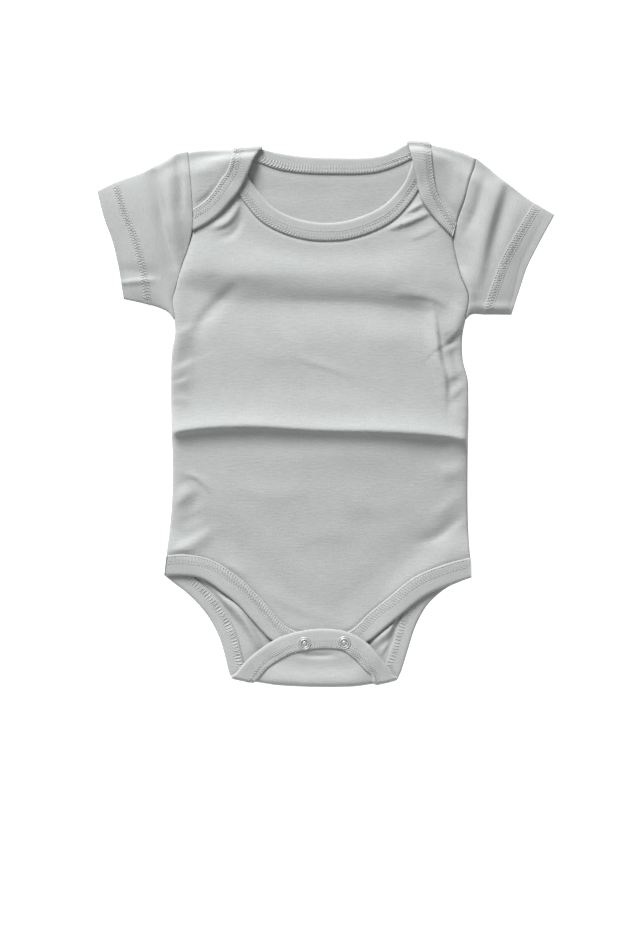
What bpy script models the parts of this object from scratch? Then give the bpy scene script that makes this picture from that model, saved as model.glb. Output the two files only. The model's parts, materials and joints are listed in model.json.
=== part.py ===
"""A baby's short-sleeved bodysuit, laid flat on its back with the front up.

The cloth is cut flat and then folded. The back is one piece: its shoulder
flaps fold over the shoulders onto the front, and its crotch tail folds up over
the front's end. Every raw edge at the neck and legs is held in a folded strip,
a binding, whose section is a U.

Frame: +X is the wearer's left, +Y is towards the neck, +Z is up from the
surface it lies on, which is z = 0. Tables are in millimetres.
"""

import math

import bmesh
import bpy
import numpy as np
from mathutils import Vector
from mathutils.geometry import delaunay_2d_cdt

# ---------------------------------------------------------------- sizes, in mm
CLOTH = 1.0  # wall of every piece of cloth
GAP = 0.3  # air between two pieces that touch
STEP = CLOTH + GAP  # from the middle of one layer to the middle of the next
FLOOR = CLOTH / 2  # middle of a layer that rests on the surface
TUCK = 2.0  # from a binding's outer fold to the cloth's raw edge inside it
PUFF = 3.0  # how far the front stands off the back, well inside its seams
SLEEVE_PUFF = 3.5
CREASE = 4.0  # height of the ridge that the folding in the pack left
AIR = 0.3  # extra room under a folded-over piece
ZONE = 10.0  # level strip under a binding, either side of its middle line
RAMP = 20.0  # then the cloth comes down over this far
LEVEL = 8.0  # cloth is level this near a fold
ARMHOLE_POINTS = 13
SHARES = (1, 2 / 3, 1 / 3)  # rows along a binding, as shares of its width
TURNS = np.linspace(0, 1, 6)  # rows round a fold, as shares of its half turn
SNAP_R = 4.75
STUD_R = 4.0

# ------------------------------------------------- fold lines: x, y of the crest
SHOULDER_FOLD = [
    (-112, 197.5), (-98, 199.8), (-80, 201), (-66, 202.1), (-48, 203.6), (-40, 204),
    (58, 207.5), (67, 207.5), (75, 206.6), (84, 204.2), (93, 201.8), (107, 197.2), (118, 191.5),
]
BOTTOM_FOLD = [
    (-80, -197), (-73, -200.5), (-62, -203.3), (-43, -205.6), (-20, -207.1),
    (10, -207.5), (35, -206.3), (47, -204.4), (56.5, -201.3), (62, -199),
]

# ------------------------------------------------------------- seams: x, y
SIDE_RIGHT = [
    (-114.5, 71), (-114, 61), (-116.3, 48), (-117.2, 21), (-117, -9),
    (-116, -43), (-116.8, -70), (-119.5, -97), (-122.5, -121),
]
SIDE_LEFT = [
    (106, 71.5), (104, 62), (104.3, 39), (107.5, 27), (108, 10), (107.5, -43),
    (107.7, -75), (109, -105), (110.5, -122.5),
]
ARMHOLE_RIGHT = [
    (-104.5, 199), (-102.5, 178), (-101, 157), (-101.5, 138), (-104, 127),
    (-109, 113), (-113, 99), (-116, 85), (-114.5, 71),
]
ARMHOLE_LEFT = [
    (114, 193.8), (113, 187), (109.5, 178), (105.5, 162), (100, 146), (97, 133), (99, 119),
    (103, 104), (108.5, 89), (106, 71.5),
]

# ------------- bindings: outer fold x, y, then inner edge x, y, in rows across
FRONT_NECK = [
    (-63, 192, -77, 190), (-58.5, 179.5, -69.5, 172.5), (-49, 166, -59.3, 157),
    (-38.5, 155.5, -48, 145), (-25, 149, -30.5, 136), (-11.5, 145.5, -13.5, 131.7),
    (3, 144.5, 3, 130.8), (15, 146, 16.5, 132), (29, 150.3, 34, 137.2),
    (42.5, 157, 50, 145.5), (52.5, 166, 61, 156), (59.5, 175, 70, 168.5),
    (64, 186, 77, 182), (67, 197, 81, 195.3),
]
FRONT_LEGS = [
    (-122.5, -123, -120.5, -107.5), (-106.5, -123, -106, -107), (-96, -124.6, -92, -109.3),
    (-77, -136.5, -67.5, -123), (-65.5, -146, -54.5, -134.5), (-56, -156.5, -44.5, -145.5),
    (-40, -173, -30.5, -161), (-29, -179.5, -23, -165), (-15, -182.5, -13, -167),
    (-2, -183, -2, -167.5), (11, -182.5, 9, -167), (23, -179.5, 18, -165),
    (33, -172.5, 25, -159.5), (44, -163.5, 33.5, -151), (56, -153.5, 46, -141),
    (77, -137.5, 69, -123), (98, -128.5, 94.5, -113), (110.5, -124.5, 110.2, -109),
]
BACK_NECK = [
    (-48, 0, -70, 0), (-42, 200.6, -57, 191.5), (-35.5, 198.8, -44, 185.5),
    (-22, 196.3, -26, 181), (-8, 195, -9, 179.5), (7, 194.6, 7, 179),
    (23, 194.3, 24.5, 179), (37, 195.2, 41, 180.5), (46, 197.3, 54.5, 185.5),
    (53.5, 201, 67, 193), (61.5, 0, 79.6, 0),
]
FLAP_RIGHT = [
    (-48, 0, -70, 0), (-53.5, 194.5, -72, 191.5), (-58.5, 182.5, -74.5, 184),
    (-66, 168, -79.5, 177), (-73, 159.5, -84.5, 169.5), (-79.5, 152.3, -89, 164),
    (-91, 143.5, -95.5, 158.3), (-101, 138.3, -100.6, 155),
]
FLAP_LEFT = [
    (61.5, 0, 79.6, 0), (65.5, 192, 80.5, 192), (68.3, 180, 81.8, 181),
    (70.3, 169.5, 83.3, 171.5), (73.5, 160, 86.3, 163.5), (78.5, 153, 90.3, 157.6),
    (86.5, 143.5, 94.8, 151.3), (96.2, 134, 98.8, 144.5),
]
BACK_LEG_RIGHT = [
    (-122.5, -123, -120.5, -107.5), (-114.5, -129.3, -108.5, -113.5), (-106.5, -135.3, -97.5, -122.6),
    (-99, -142.3, -87.8, -131.6), (-91, -151.5, -78.6, -142), (-85, -161, -71.5, -153.3),
    (-80, -172, -65.6, -166), (-77, -182, -62, -178.5), (-75, -190.5, -59.8, -188.5), (-73, 0, -57, 0),
]
BACK_LEG_LEFT = [
    (56, 0, 39.5, 0), (59, -190.5, 43.5, -187), (63, -177, 48.2, -173), (67, -164.5, 52.4, -159),
    (72, -153.5, 58.4, -146), (77.5, -145, 65.4, -135.4), (84, -138.5, 73.3, -127.3),
    (93.5, -131.5, 86, -117.5), (102, -127.8, 98, -112.5), (110.5, -124.5, 110.2, -109),
]
TAIL = [
    (-73, 0, -57, 0), (-64.5, -191.5, -50, -197.5), (-50.5, -179, -38.5, -189.3),
    (-32.5, -168.5, -24.5, -181.5), (-20, -164.9, -15.5, -179.6), (0, -163, -1, -178.2),
    (17.5, -165.8, 12.5, -179.5), (31, -173.5, 21.5, -185.8), (42, -186, 30, -195),
    (48.5, -193.3, 35.5, -199), (56, 0, 39.5, 0),
]
SNAPS = {"right": (-16.0, -174.0), "left": (14.0, -173.5)}

# ------------------------------------ sleeves: upper edge, under-arm edge, cuff
SLEEVE_RIGHT = dict(
    upper=[(-104.5, 199), (-112.5, 197.2), (-121.5, 192.7), (-130.5, 187.5), (-139.6, 182.8), (-157.9, 176), (-173.5, 168.5)],
    under=[(-114.5, 71), (-119.5, 77), (-126, 80.3), (-135, 83.2), (-153.5, 87.5)],
    cuff=[(-173.5, 168.5), (-167.5, 146), (-162.4, 132.5), (-158, 114.5), (-153.5, 87.5)],
)
SLEEVE_LEFT = dict(
    upper=[(114, 193.8), (120.3, 189), (129.4, 181.3), (138.5, 174.4), (152.2, 163.8), (173.5, 150.5)],
    under=[(106, 71.5), (110, 75), (119, 75.5), (141, 75.5)],
    cuff=[(173.5, 150.5), (161, 127.6), (152.2, 109.8), (147.7, 96), (141, 75.5)],
)

# --------------------------------------------------------------- materials
COLOURS = {
    "jersey": ((0.56, 0.58, 0.58, 1), 0.95, 0.0),
    "rib": ((0.55, 0.57, 0.57, 1), 0.95, 0.0),
    "metal": ((0.62, 0.62, 0.62, 1), 0.35, 1.0),
}


def material(slot):
    """A plain material for one kind of surface."""
    made = bpy.data.materials.get(slot)
    if made is None:
        colour, rough, metal = COLOURS[slot]
        made = bpy.data.materials.new(slot)
        made.use_nodes = True
        shader = made.node_tree.nodes["Principled BSDF"]
        shader.inputs["Base Color"].default_value = colour
        shader.inputs["Roughness"].default_value = rough
        shader.inputs["Metallic"].default_value = metal
    return made


# ------------------------------------------------------------------- curves
def smooth(table, spacing):
    """A smooth curve through a table's rows, sampled about every `spacing` mm.

    Each stretch is a cubic whose slope at a row is the slope between that
    row's neighbours. Every column is followed; length is in the first two.
    """
    rows = np.array(table, float)
    along = np.r_[0, np.cumsum(np.linalg.norm(np.diff(rows[:, :2], axis=0), axis=1))]
    slope = np.gradient(rows, along, axis=0)
    at = np.linspace(0, along[-1], max(2, round(along[-1] / spacing) + 1))
    i = np.clip(np.searchsorted(along, at, side="right") - 1, 0, len(rows) - 2)
    span = (along[i + 1] - along[i])[:, None]
    w = (at[:, None] - along[i][:, None]) / span
    return (
        rows[i] * (2 * w**3 - 3 * w**2 + 1)
        + rows[i + 1] * (3 * w**2 - 2 * w**3)
        + span * (slope[i] * (w**3 - 2 * w**2 + w) + slope[i + 1] * (w**3 - w**2))
    )


def distance(x, y, line):
    """How far each point is from a polyline."""
    p = np.stack([x, y], -1)[..., None, :]
    a, d = line[:-1], np.diff(line, axis=0)
    t = np.clip(((p - a) * d).sum(-1) / (d * d).sum(-1), 0, 1)
    return np.linalg.norm(p - a - t[..., None] * d, axis=-1).min(-1)


def fade(far, flat, ramp):
    """1 up to `flat`, then an S-shaped slope down to 0 over `ramp`."""
    t = np.clip((far - flat) / ramp, 0, 1)
    return 1 - t * t * (3 - 2 * t)


TOP_CREST = smooth(SHOULDER_FOLD[:6], 2.0), smooth(SHOULDER_FOLD[6:], 2.0)
LOW_CREST = smooth(BOTTOM_FOLD, 2.0)


def top_at(x):
    line = np.concatenate(TOP_CREST)
    return np.interp(x, line[:, 0], line[:, 1])


def low_at(x):
    return np.interp(x, LOW_CREST[:, 0], LOW_CREST[:, 1])


def on_fold(table, crest_at):
    """The table with its zeros, rows that lie on a fold, put on the crest."""
    return [
        (a, b or float(crest_at(a)), c, d or float(crest_at(c))) for a, b, c, d in table
    ]


FLAT = {
    "front_neck": FRONT_NECK,
    "front_legs": FRONT_LEGS,
    "back_neck": on_fold(BACK_NECK, top_at),
    "flap_right": on_fold(FLAP_RIGHT, top_at),
    "flap_left": on_fold(FLAP_LEFT, top_at),
    "back_leg_right": on_fold(BACK_LEG_RIGHT, low_at),
    "back_leg_left": on_fold(BACK_LEG_LEFT, low_at),
    "tail": on_fold(TAIL, low_at),
}
MIDDLE = {
    name: smooth(rows, 6.0) @ np.array([[0.5, 0], [0, 0.5], [0.5, 0], [0, 0.5]])
    for name, rows in FLAT.items()
}
SEAM_LINES = [
    smooth(t, 8.0) for t in (SIDE_LEFT, SIDE_RIGHT, ARMHOLE_LEFT, ARMHOLE_RIGHT)
]


# ---------------------------------------------- heights of the stacked layers
def under_binding(x, y, *names):
    """1 where one of these bindings lies, falling smoothly to 0 beside it."""
    far = np.min([distance(x, y, MIDDLE[n]) for n in names], axis=0)
    return fade(far, ZONE, RAMP)


def level(x, y):
    """y, held LEVEL mm short of the folds so that cloth is level beside them."""
    return np.clip(y, low_at(x) + LEVEL, top_at(x) - LEVEL)


def back_lift(x, y):
    return under_binding(x, y, "back_neck", "back_leg_right", "back_leg_left")


def back_height(x, y):
    """Middle of the back: on the surface, raised one layer over its binding."""
    return FLOOR + STEP * back_lift(x, level(x, y))


def front_lift(x, y):
    return under_binding(x, y, "front_neck", "front_legs")


def puff(x, y):
    """How far the front stands up: air inside it, a fold line and a hollow.

    The air grows away from the seams as 1 - exp(-distance / 16 mm). The
    fold is a ridge across the body whose upper side is the gentler one.
    """
    inside = 1 - np.exp(-np.min([distance(x, y, s) for s in SEAM_LINES], axis=0) / 16)
    off = y + 13.5
    ridge = CREASE * np.exp(-((off / np.where(off > 0, 13.0, 7.0)) ** 2))
    hollow = 1.2 * np.exp(-(((y - 84) / 9) ** 2))
    shoulder = fade(y, 130, 45)
    return inside * (1 - front_lift(x, y)) * (PUFF * shoulder + ridge - hollow)


def front_height(x, y):
    """Middle of the front: one layer over the back and over its binding."""
    y = level(x, y)
    return (
        FLOOR + STEP + 2 * STEP * back_lift(x, y) + STEP * front_lift(x, y) + puff(x, y)
    )


def over_height(x, y, lift):
    """Middle of a piece that is folded over onto the front."""
    y = level(x, y)
    return front_height(x, y) + STEP * (1 + front_lift(x, y) + lift(x, y)) + AIR


def flap_height(x, y):
    return over_height(x, y, lambda x, y: under_binding(x, y, "flap_right", "flap_left"))


def tail_height(x, y):
    a, b = (np.array(SNAPS[side]) for side in ("right", "left"))
    stud = STEP * fade(distance(x, y, np.array([a, b])), 9, 12)
    return over_height(x, y, lambda x, y: under_binding(x, y, "tail")) + stud


# ---------------------------------------------- the back, from cut to folded
def bends(x):
    """For each x: where the folds start in y, and their radii."""
    near_top, near_low = top_at(x) - LEVEL, low_at(x) + LEVEL
    r_top = (flap_height(x, near_top) - back_height(x, near_top)) / 2
    r_low = (tail_height(x, near_low) - back_height(x, near_low)) / 2
    out_top = CLOTH / 2 + STEP * back_lift(x, near_top)
    out_low = CLOTH / 2 + STEP * back_lift(x, near_low)
    return top_at(x) - out_top - r_top, r_top, low_at(x) + out_low + r_low, r_low


def fold_back(x, q):
    """A point of the flat cut, taken to where it lies once folded.

    q is y on the flat cut. Past a fold's start the cloth goes half way round
    a circle and comes back towards the body on top of it.
    """
    top, r_top, low, r_low = bends(x)
    past_top, past_low = np.clip(q - top, 0, None), np.clip(low - q, 0, None)
    turn_top = np.minimum(past_top / r_top, math.pi)
    turn_low = np.minimum(past_low / r_low, math.pi)
    back_top = np.clip(past_top - math.pi * r_top, 0, None)
    back_low = np.clip(past_low - math.pi * r_low, 0, None)
    y = np.clip(q, low, top)
    y = y + r_top * np.sin(turn_top) - r_low * np.sin(turn_low) - back_top + back_low
    z = back_height(x, y) + r_top * (1 - np.cos(turn_top)) + r_low * (1 - np.cos(turn_low))
    z = np.where(back_top > 0, flap_height(x, y), z)
    z = np.where(back_low > 0, tail_height(x, y), z)
    return np.stack([x, y, z], -1)


def lay_front(x, y):
    return np.stack([x, y, front_height(x, y)], -1)


def flat_of_flap(x, y):
    """Where a point of a folded flap is on the flat cut."""
    top, r_top, _, _ = bends(x)
    return top + math.pi * r_top + np.maximum(top - y, 0)


def flat_of_tail(x, y):
    _, _, low, r_low = bends(x)
    return low - math.pi * r_low - np.maximum(y - low, 0)


def strip(table, spacing):
    """A binding's outer fold and inner edge on the flat cut, both (n, 2)."""
    s = smooth(FLAT[table], spacing)
    x, y = s[:, [0, 2]], s[:, [1, 3]]
    if table.startswith("flap"):
        y = flat_of_flap(x, y)
    elif table == "tail":
        y = flat_of_tail(x, y)
    elif table.startswith("back"):
        top, _, low, _ = bends(x)
        y = np.clip(y, low, top)
    return np.stack([x, y], -1)


def round_fold(x, which, turns=TURNS[1:-1]):
    """Rows of points round a fold, one row for each share of the half turn."""
    x = np.array(x, float)
    top, r_top, low, r_low = bends(x)
    turns = math.pi * turns[:, None]
    q = top + turns * r_top if which == "top" else low - turns * r_low
    return np.stack([np.broadcast_to(x, q.shape), q], -1)


STRIPS = {
    "front_neck": strip("front_neck", 7.5),
    "front_legs": strip("front_legs", 8.0),
    "back_neck": np.concatenate([
        strip("flap_right", 6.5)[::-1],
        round_fold([-48, -70], "top")[::-1],
        strip("back_neck", 8.0),
        round_fold([61.5, 79.6], "top"),
        strip("flap_left", 6.5),
    ]),
    "back_legs": np.concatenate([
        strip("back_leg_right", 9.0),
        round_fold([-73, -57], "low"),
        strip("tail", 7.0),
        round_fold([56, 39.5], "low")[::-1],
        strip("back_leg_left", 9.0),
    ]),
}


# ------------------------------------------------------------------- meshes
def add_object(name, slot, bm, thickness=None):
    """Turns a bmesh in millimetres into a named object in metres."""
    bmesh.ops.remove_doubles(bm, verts=bm.verts, dist=1e-4)
    bmesh.ops.recalc_face_normals(bm, faces=bm.faces)
    bmesh.ops.scale(bm, vec=(0.001,) * 3, verts=bm.verts)
    mesh = bpy.data.meshes.new(name)
    bm.to_mesh(mesh)
    bm.free()
    mesh.polygons.foreach_set("use_smooth", [True] * len(mesh.polygons))
    mesh.materials.append(material(slot))
    obj = bpy.data.objects.new(name, mesh)
    bpy.context.scene.collection.objects.link(obj)
    if thickness:
        wall = obj.modifiers.new("wall", "SOLIDIFY")
        wall.thickness, wall.offset, wall.use_even_offset = thickness * 0.001, 0, False
    return obj


def inside(points, loop):
    """Which points are inside a closed polyline, by counting crossings."""
    x, y = points[:, 0, None], points[:, 1, None]
    (x0, y0), (x1, y1) = loop.T, np.roll(loop, -1, axis=0).T
    with np.errstate(divide="ignore", invalid="ignore"):
        cross = ((y0 > y) != (y1 > y)) & (x < (x1 - x0) * (y - y0) / (y1 - y0) + x0)
    return cross.sum(1) % 2 == 1


def cut(outline, rows, lattices):
    """A flat piece as triangles: its outline, rows of points that it must
    have, and a lattice inside. A lattice is (spacing, lowest y, highest y)."""
    points = np.concatenate([outline] + [r for r in rows])
    edges, start = [], len(outline)
    for r in rows:
        edges += [(start + i, start + i + 1) for i in range(len(r) - 1)]
        start += len(r)
    for spacing, low, high in lattices:
        nx, ny = int(260 / spacing), int((high - low) / spacing / 0.866)
        i, j = np.meshgrid(np.arange(nx), np.arange(ny + 1))
        grid = np.stack(
            [-130 + spacing * (i + 0.5 * (j % 2)), low + j * spacing * 0.866], -1
        ).reshape(-1, 2)
        grid = grid[inside(grid, outline)]
        near = np.linalg.norm(grid[:, None] - points[None], axis=-1).min(1)
        edge = distance(grid[:, 0], grid[:, 1], np.concatenate([outline, outline[:1]]))
        points = np.concatenate([points, grid[(near > 0.72 * spacing) & (edge > 0.6 * spacing)]])
    loop = list(range(len(outline)))
    done = delaunay_2d_cdt([Vector(p) for p in points], edges, [loop], 1, 1e-6)
    return np.array([tuple(v) for v in done[0]]), done[2]


def sheet(name, flat, place):
    """A piece of cloth: the flat cut laid in place, then given its wall."""
    points, faces = flat
    placed = place(points[:, 0], points[:, 1])
    bm = bmesh.new()
    verts = [bm.verts.new(p) for p in placed]
    for face in faces:
        bm.faces.new([verts[i] for i in face])
    return add_object(name, "jersey", bm, CLOTH)


def tube(name, slot, rings, caps):
    """A closed body from equal rings of points. `caps` lists the faces that
    close each end, as places in the ring."""
    bm = bmesh.new()
    rows = [[bm.verts.new(p) for p in ring] for ring in rings]
    for a, b in zip(rows, rows[1:]):
        for i in range(len(a)):
            j = (i + 1) % len(a)
            bm.faces.new([a[i], a[j], b[j], b[i]])
    for end in (rows[0], rows[-1]):
        for face in caps:
            bm.faces.new([end[i] for i in face])
    return add_object(name, slot, bm)


def binding(name, stations, place):
    """A folded strip round an edge. Its section is a U whose arms lie one step
    above and below the cloth: d is mm in from the outer fold, h mm off the cloth."""
    outer_fold, inner_edge = stations[:, 0], stations[:, 1]
    across = inner_edge - outer_fold
    width = np.linalg.norm(across, axis=1)
    across = across / width[:, None]
    far, near = STEP + CLOTH / 2, STEP - CLOTH / 2

    def arm(h):
        """Points along one arm, from its end in to the fold: share, mm, height."""
        return [(share, 0, h) for share in SHARES]

    section = (
        arm(far)
        + [(0, far * (1 - math.cos(a)), far * math.sin(a)) for a in np.radians([90, 45, 0, -45, -90])]
        + arm(-far)[::-1]
        + arm(-near)
        + [(0, far, -near), (0, far - near, 0), (0, far, near)]
        + arm(near)[::-1]
    )
    rings = []
    for part, mm, h in section:
        d = part * width + (1 - part) * mm if part else np.full(len(width), mm)
        x, q = (outer_fold + across * d[:, None]).T
        e = 0.05
        normal = np.cross(place(x + e, q) - place(x - e, q), place(x, q + e) - place(x, q - e))
        normal /= np.linalg.norm(normal, axis=1)[:, None]
        ring = place(x, q) + normal * h
        ring[:, 2] = np.maximum(ring[:, 2], 0)
        rings.append(ring)
    # the end faces join the section's outer points to the inner ones across from them
    caps = [
        (0, 1, 18, 19), (1, 2, 17, 18), (2, 3, 16, 17), (3, 4, 16), (4, 15, 16), (4, 5, 15),
        (5, 6, 15), (6, 14, 15), (6, 7, 14), (7, 8, 13, 14), (8, 9, 12, 13), (9, 10, 11, 12),
    ]
    return tube(name, "rib", np.swapaxes(np.array(rings), 0, 1), caps)


def tucked(stations):
    """The cloth's raw edge inside a binding."""
    across = stations[:, 1] - stations[:, 0]
    return stations[:, 0] + across * (TUCK / np.linalg.norm(across, axis=1))[:, None]


def bound_edge(stations):
    """The cloth's outline at a binding: in along one end, along, and out."""
    rows = [across_binding(stations, share) for share in SHARES]
    return np.concatenate([
        [row[0] for row in rows], tucked(stations), [row[-1] for row in rows[::-1]]
    ])


def fold_rows(which, bound, between, last):
    """Rows that cross a folded piece, at equal turns: from one bound edge (its
    outer and inner x) over the points between to the other edge."""
    def side(x):
        s = round_fold(x, which, TURNS)
        return np.stack([tucked(s)] + [across_binding(s, v) for v in SHARES[::-1]], 1)

    parts = [side(bound), round_fold(between, which, TURNS)]
    parts.append(side(last)[:, ::-1] if isinstance(last, list) else last[:, None])
    return list(np.concatenate(parts, axis=1))


def across_binding(stations, share):
    """Points this share of the way in from a binding's outer fold."""
    return stations[:, 0] * (1 - share) + stations[:, 1] * share


def side_seam(table, spacing):
    """The side seam from the underarm to just above the leg binding."""
    line = smooth(table, spacing)
    return line[line[:, 1] > -101]


def armhole(table):
    """The armhole seam at evenly spaced points; every piece there shares them."""
    line = smooth(table, 0.5)
    return line[np.linspace(0, len(line) - 1, ARMHOLE_POINTS).round().astype(int)]


# ------------------------------------------------------------------- pieces
def build_front():
    neck, legs = STRIPS["front_neck"], STRIPS["front_legs"]
    outline = np.concatenate([
        bound_edge(legs),
        side_seam(SIDE_LEFT, 9.0)[::-1],
        armhole(ARMHOLE_LEFT)[-2:0:-1],
        [(103, 188.5), (92, 193.3)],
        bound_edge(neck)[::-1],
        [(-86, 189.3), (-95, 188.7)],
        armhole(ARMHOLE_RIGHT)[1:-1],
        side_seam(SIDE_RIGHT, 9.0),
    ])
    rows = [across_binding(s, v)[1:-1] for s in (neck, legs) for v in SHARES]
    flat = cut(outline, rows, [(7, -24, 2), (12, -166, 190)])
    sheet("front_panel", flat, lay_front)
    binding("front_neck_binding", neck, lay_front)
    binding("front_leg_binding", legs, lay_front)


def build_back():
    neck, legs = STRIPS["back_neck"], STRIPS["back_legs"]

    def armhole_cut(table):
        """Armhole edge on the flat cut: main part, round the fold, flap."""
        line = armhole(table)
        top, _, _, _ = bends(line[:1, 0])
        x = np.interp(top[0], line[::-1, 1], line[::-1, 0])
        bend = round_fold([x], "top", TURNS)[:, 0]
        main = line[line[:, 1] < bend[0, 1] - 2]
        flap = np.array([(x, flat_of_flap(x, y)) for x, y in main if y > 160])
        return main, bend, flap

    main_r, bend_r, flap_r = armhole_cut(ARMHOLE_RIGHT)
    main_l, bend_l, flap_l = armhole_cut(ARMHOLE_LEFT)
    outline = np.concatenate([
        bound_edge(legs),
        side_seam(SIDE_LEFT, 14.0)[::-1],
        main_l[-2::-1],
        bend_l,
        flap_l,
        bound_edge(neck)[::-1],
        flap_r[::-1],
        bend_r[::-1],
        main_r[:-1],
        side_seam(SIDE_RIGHT, 14.0),
    ])
    rows = [across_binding(s, v)[1:-1] for s in (neck, legs) for v in SHARES]
    rows += fold_rows("top", [-48, -70], np.arange(-77, -100, -7.0), bend_r)
    rows += fold_rows("top", [61.5, 79.6], np.arange(86, 110, 7.0), bend_l)
    rows += fold_rows("low", [-73, -57], np.arange(-49, 34, 8.0), [56, 39.5])
    lattices = [(6.5, 212, 290), (6.0, -275, -212), (11, -198, -105), (11, 165, 198), (22, -100, 160)]
    sheet("back_panel", cut(outline, rows, lattices), fold_back)
    binding("back_neck_binding", neck, fold_back)
    binding("back_leg_binding", legs, fold_back)


def build_sleeve(name, edges, seam, side):
    """A flattened tube from the armhole to the cuff. Each ring goes out along
    the upper layer and back along the lower one, round a tight fold at each
    edge. Its points are the armhole and the cuff blended along the arm, moved
    so that the ends follow the upper and under-arm edges."""
    rings, across = 11, ARMHOLE_POINTS
    start = armhole(seam)
    end = smooth(edges["cuff"], 1.0)
    end = end[np.linspace(0, len(end) - 1, across).round().astype(int)]
    upper = smooth(edges["upper"], 0.5)
    upper = upper[np.linspace(0, len(upper) - 1, rings).round().astype(int)]
    under = smooth(edges["under"], 0.5)
    under = under[np.linspace(0, len(under) - 1, rings).round().astype(int)]
    s, t = np.meshgrid(np.linspace(0, 1, rings), np.linspace(0, 1, across), indexing="ij")
    s, t = s[..., None], t[..., None]
    plan = (
        (1 - s) * start + s * end + (1 - t) * upper[:, None] + t * under[:, None]
        - (1 - s) * (1 - t) * start[0] - (1 - s) * t * start[-1] - s * (1 - t) * end[0] - s * t * end[-1]
    )
    plan[0, :, 0] += side * (GAP + 0.15)
    rise = 1 - np.exp(-8 * t[..., 0] * (1 - t[..., 0]))
    along = s[..., 0]
    height = FLOOR + STEP + SLEEVE_PUFF * rise * (0.35 + 0.65 * np.sin(math.pi * np.clip(along * 1.1, 0, 1)) ** 0.7)
    fold = STEP / 2
    first = plan[:, :1] + fold * (plan[:, 1:2] - plan[:, :1]) / np.linalg.norm(plan[:, 1:2] - plan[:, :1], axis=-1, keepdims=True)
    last = plan[:, -1:] + fold * (plan[:, -2:-1] - plan[:, -1:]) / np.linalg.norm(plan[:, -2:-1] - plan[:, -1:], axis=-1, keepdims=True)
    layer = np.concatenate([first, plan[:, 1:-1], last], axis=1)
    tall = height[..., None]
    upper_layer = np.concatenate([layer, tall], -1)
    lower_layer = np.concatenate([layer[:, ::-1], np.full_like(tall, FLOOR)], -1)
    middle = np.full((rings, 1, 1), FLOOR + fold)
    loop = np.concatenate([
        upper_layer,
        np.concatenate([plan[:, -1:], middle], -1),
        lower_layer,
        np.concatenate([plan[:, :1], middle], -1),
    ], axis=1)
    bm = bmesh.new()
    rows = [[bm.verts.new(p) for p in ring] for ring in loop]
    for a, b in zip(rows, rows[1:]):
        for i in range(len(a)):
            j = (i + 1) % len(a)
            bm.faces.new([a[i], a[j], b[j], b[i]])
    add_object(name, "jersey", bm, CLOTH)


def build_snaps():
    """A ring with a dome in its middle on the tail, and a disc under the tail."""
    cap = [(0, 1.7), (1.6, 1.35), (2.5, 0.6), (3.1, 0.6), (3.6, 1.5), (4.4, 1.35), (SNAP_R, 0.5), (SNAP_R, 0), (0, 0)]
    stud = [(0, 1.0), (3.4, 1.0), (STUD_R, 0.6), (STUD_R, 0), (0, 0)]
    for side, (x, y) in SNAPS.items():
        at = np.array([x]), np.array([y])
        on_tail = float(tail_height(*at)[0]) + STEP + CLOTH / 2 + GAP
        on_front = float(front_height(*at)[0]) + STEP + CLOTH / 2 + GAP
        for kind, profile, z, n in (("cap", cap, on_tail, 20), ("stud", stud, on_front, 16)):
            bm = bmesh.new()
            verts = [bm.verts.new((x + r, y, z + h)) for r, h in profile]
            edges = [bm.edges.new(pair) for pair in zip(verts, verts[1:])]
            bmesh.ops.spin(
                bm, geom=verts + edges, cent=(x, y, 0), axis=(0, 0, 1), angle=2 * math.pi, steps=n
            )
            add_object(f"snap_{kind}_{side}", "metal", bm)


for old in list(bpy.data.objects):
    bpy.data.objects.remove(old, do_unlink=True)
build_front()
build_back()
build_sleeve("sleeve_right", SLEEVE_RIGHT, ARMHOLE_RIGHT, -1)
build_sleeve("sleeve_left", SLEEVE_LEFT, ARMHOLE_LEFT, 1)
build_snaps()
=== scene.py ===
# %% [markdown]
# # A baby's bodysuit, laid flat on its back
# A lesson in building a garment the way it is sewn: flat cuts of jersey, a few
# folds, and ribbed strips that bind the raw edges. Every shape below is a
# function worked out on a whole grid at once with numpy, so a crease or a seam
# is one line of a table that you can change and run again.
# Frame: +X is the wearer's left, +Y is towards the neck, +Z is up. Tables are
# in millimetres, and meshes are written in metres.

# %% Load the fixed frame
import json
import math

import bpy
import numpy as np
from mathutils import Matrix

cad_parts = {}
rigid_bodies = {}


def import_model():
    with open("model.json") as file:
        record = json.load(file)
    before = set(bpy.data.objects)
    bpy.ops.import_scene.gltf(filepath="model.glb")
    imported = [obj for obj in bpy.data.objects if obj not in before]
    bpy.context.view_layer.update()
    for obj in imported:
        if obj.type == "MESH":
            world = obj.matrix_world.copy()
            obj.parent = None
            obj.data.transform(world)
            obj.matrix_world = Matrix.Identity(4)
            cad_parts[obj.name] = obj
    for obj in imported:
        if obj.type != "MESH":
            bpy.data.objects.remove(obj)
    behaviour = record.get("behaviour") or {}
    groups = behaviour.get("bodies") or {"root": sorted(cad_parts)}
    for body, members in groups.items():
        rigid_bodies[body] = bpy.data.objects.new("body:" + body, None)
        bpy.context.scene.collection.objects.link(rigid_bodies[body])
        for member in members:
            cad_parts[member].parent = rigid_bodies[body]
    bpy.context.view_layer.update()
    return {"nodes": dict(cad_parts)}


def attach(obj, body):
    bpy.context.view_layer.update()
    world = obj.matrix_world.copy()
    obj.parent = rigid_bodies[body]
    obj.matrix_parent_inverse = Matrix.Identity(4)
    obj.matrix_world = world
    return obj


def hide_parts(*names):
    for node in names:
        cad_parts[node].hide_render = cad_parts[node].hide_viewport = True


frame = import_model()
print("solids:", ", ".join(sorted(frame["nodes"])))

# %% [markdown]
# ## Sizes of the cloth
# The real jersey is about 0.6 mm thick and the rib a little more. Layers lie on
# each other one STEP apart, from middle to middle, so that they never touch. The
# solids use a thicker cloth and a wider step, because a solid sheet as thin as
# real jersey would be too fragile to reuse.

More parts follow.
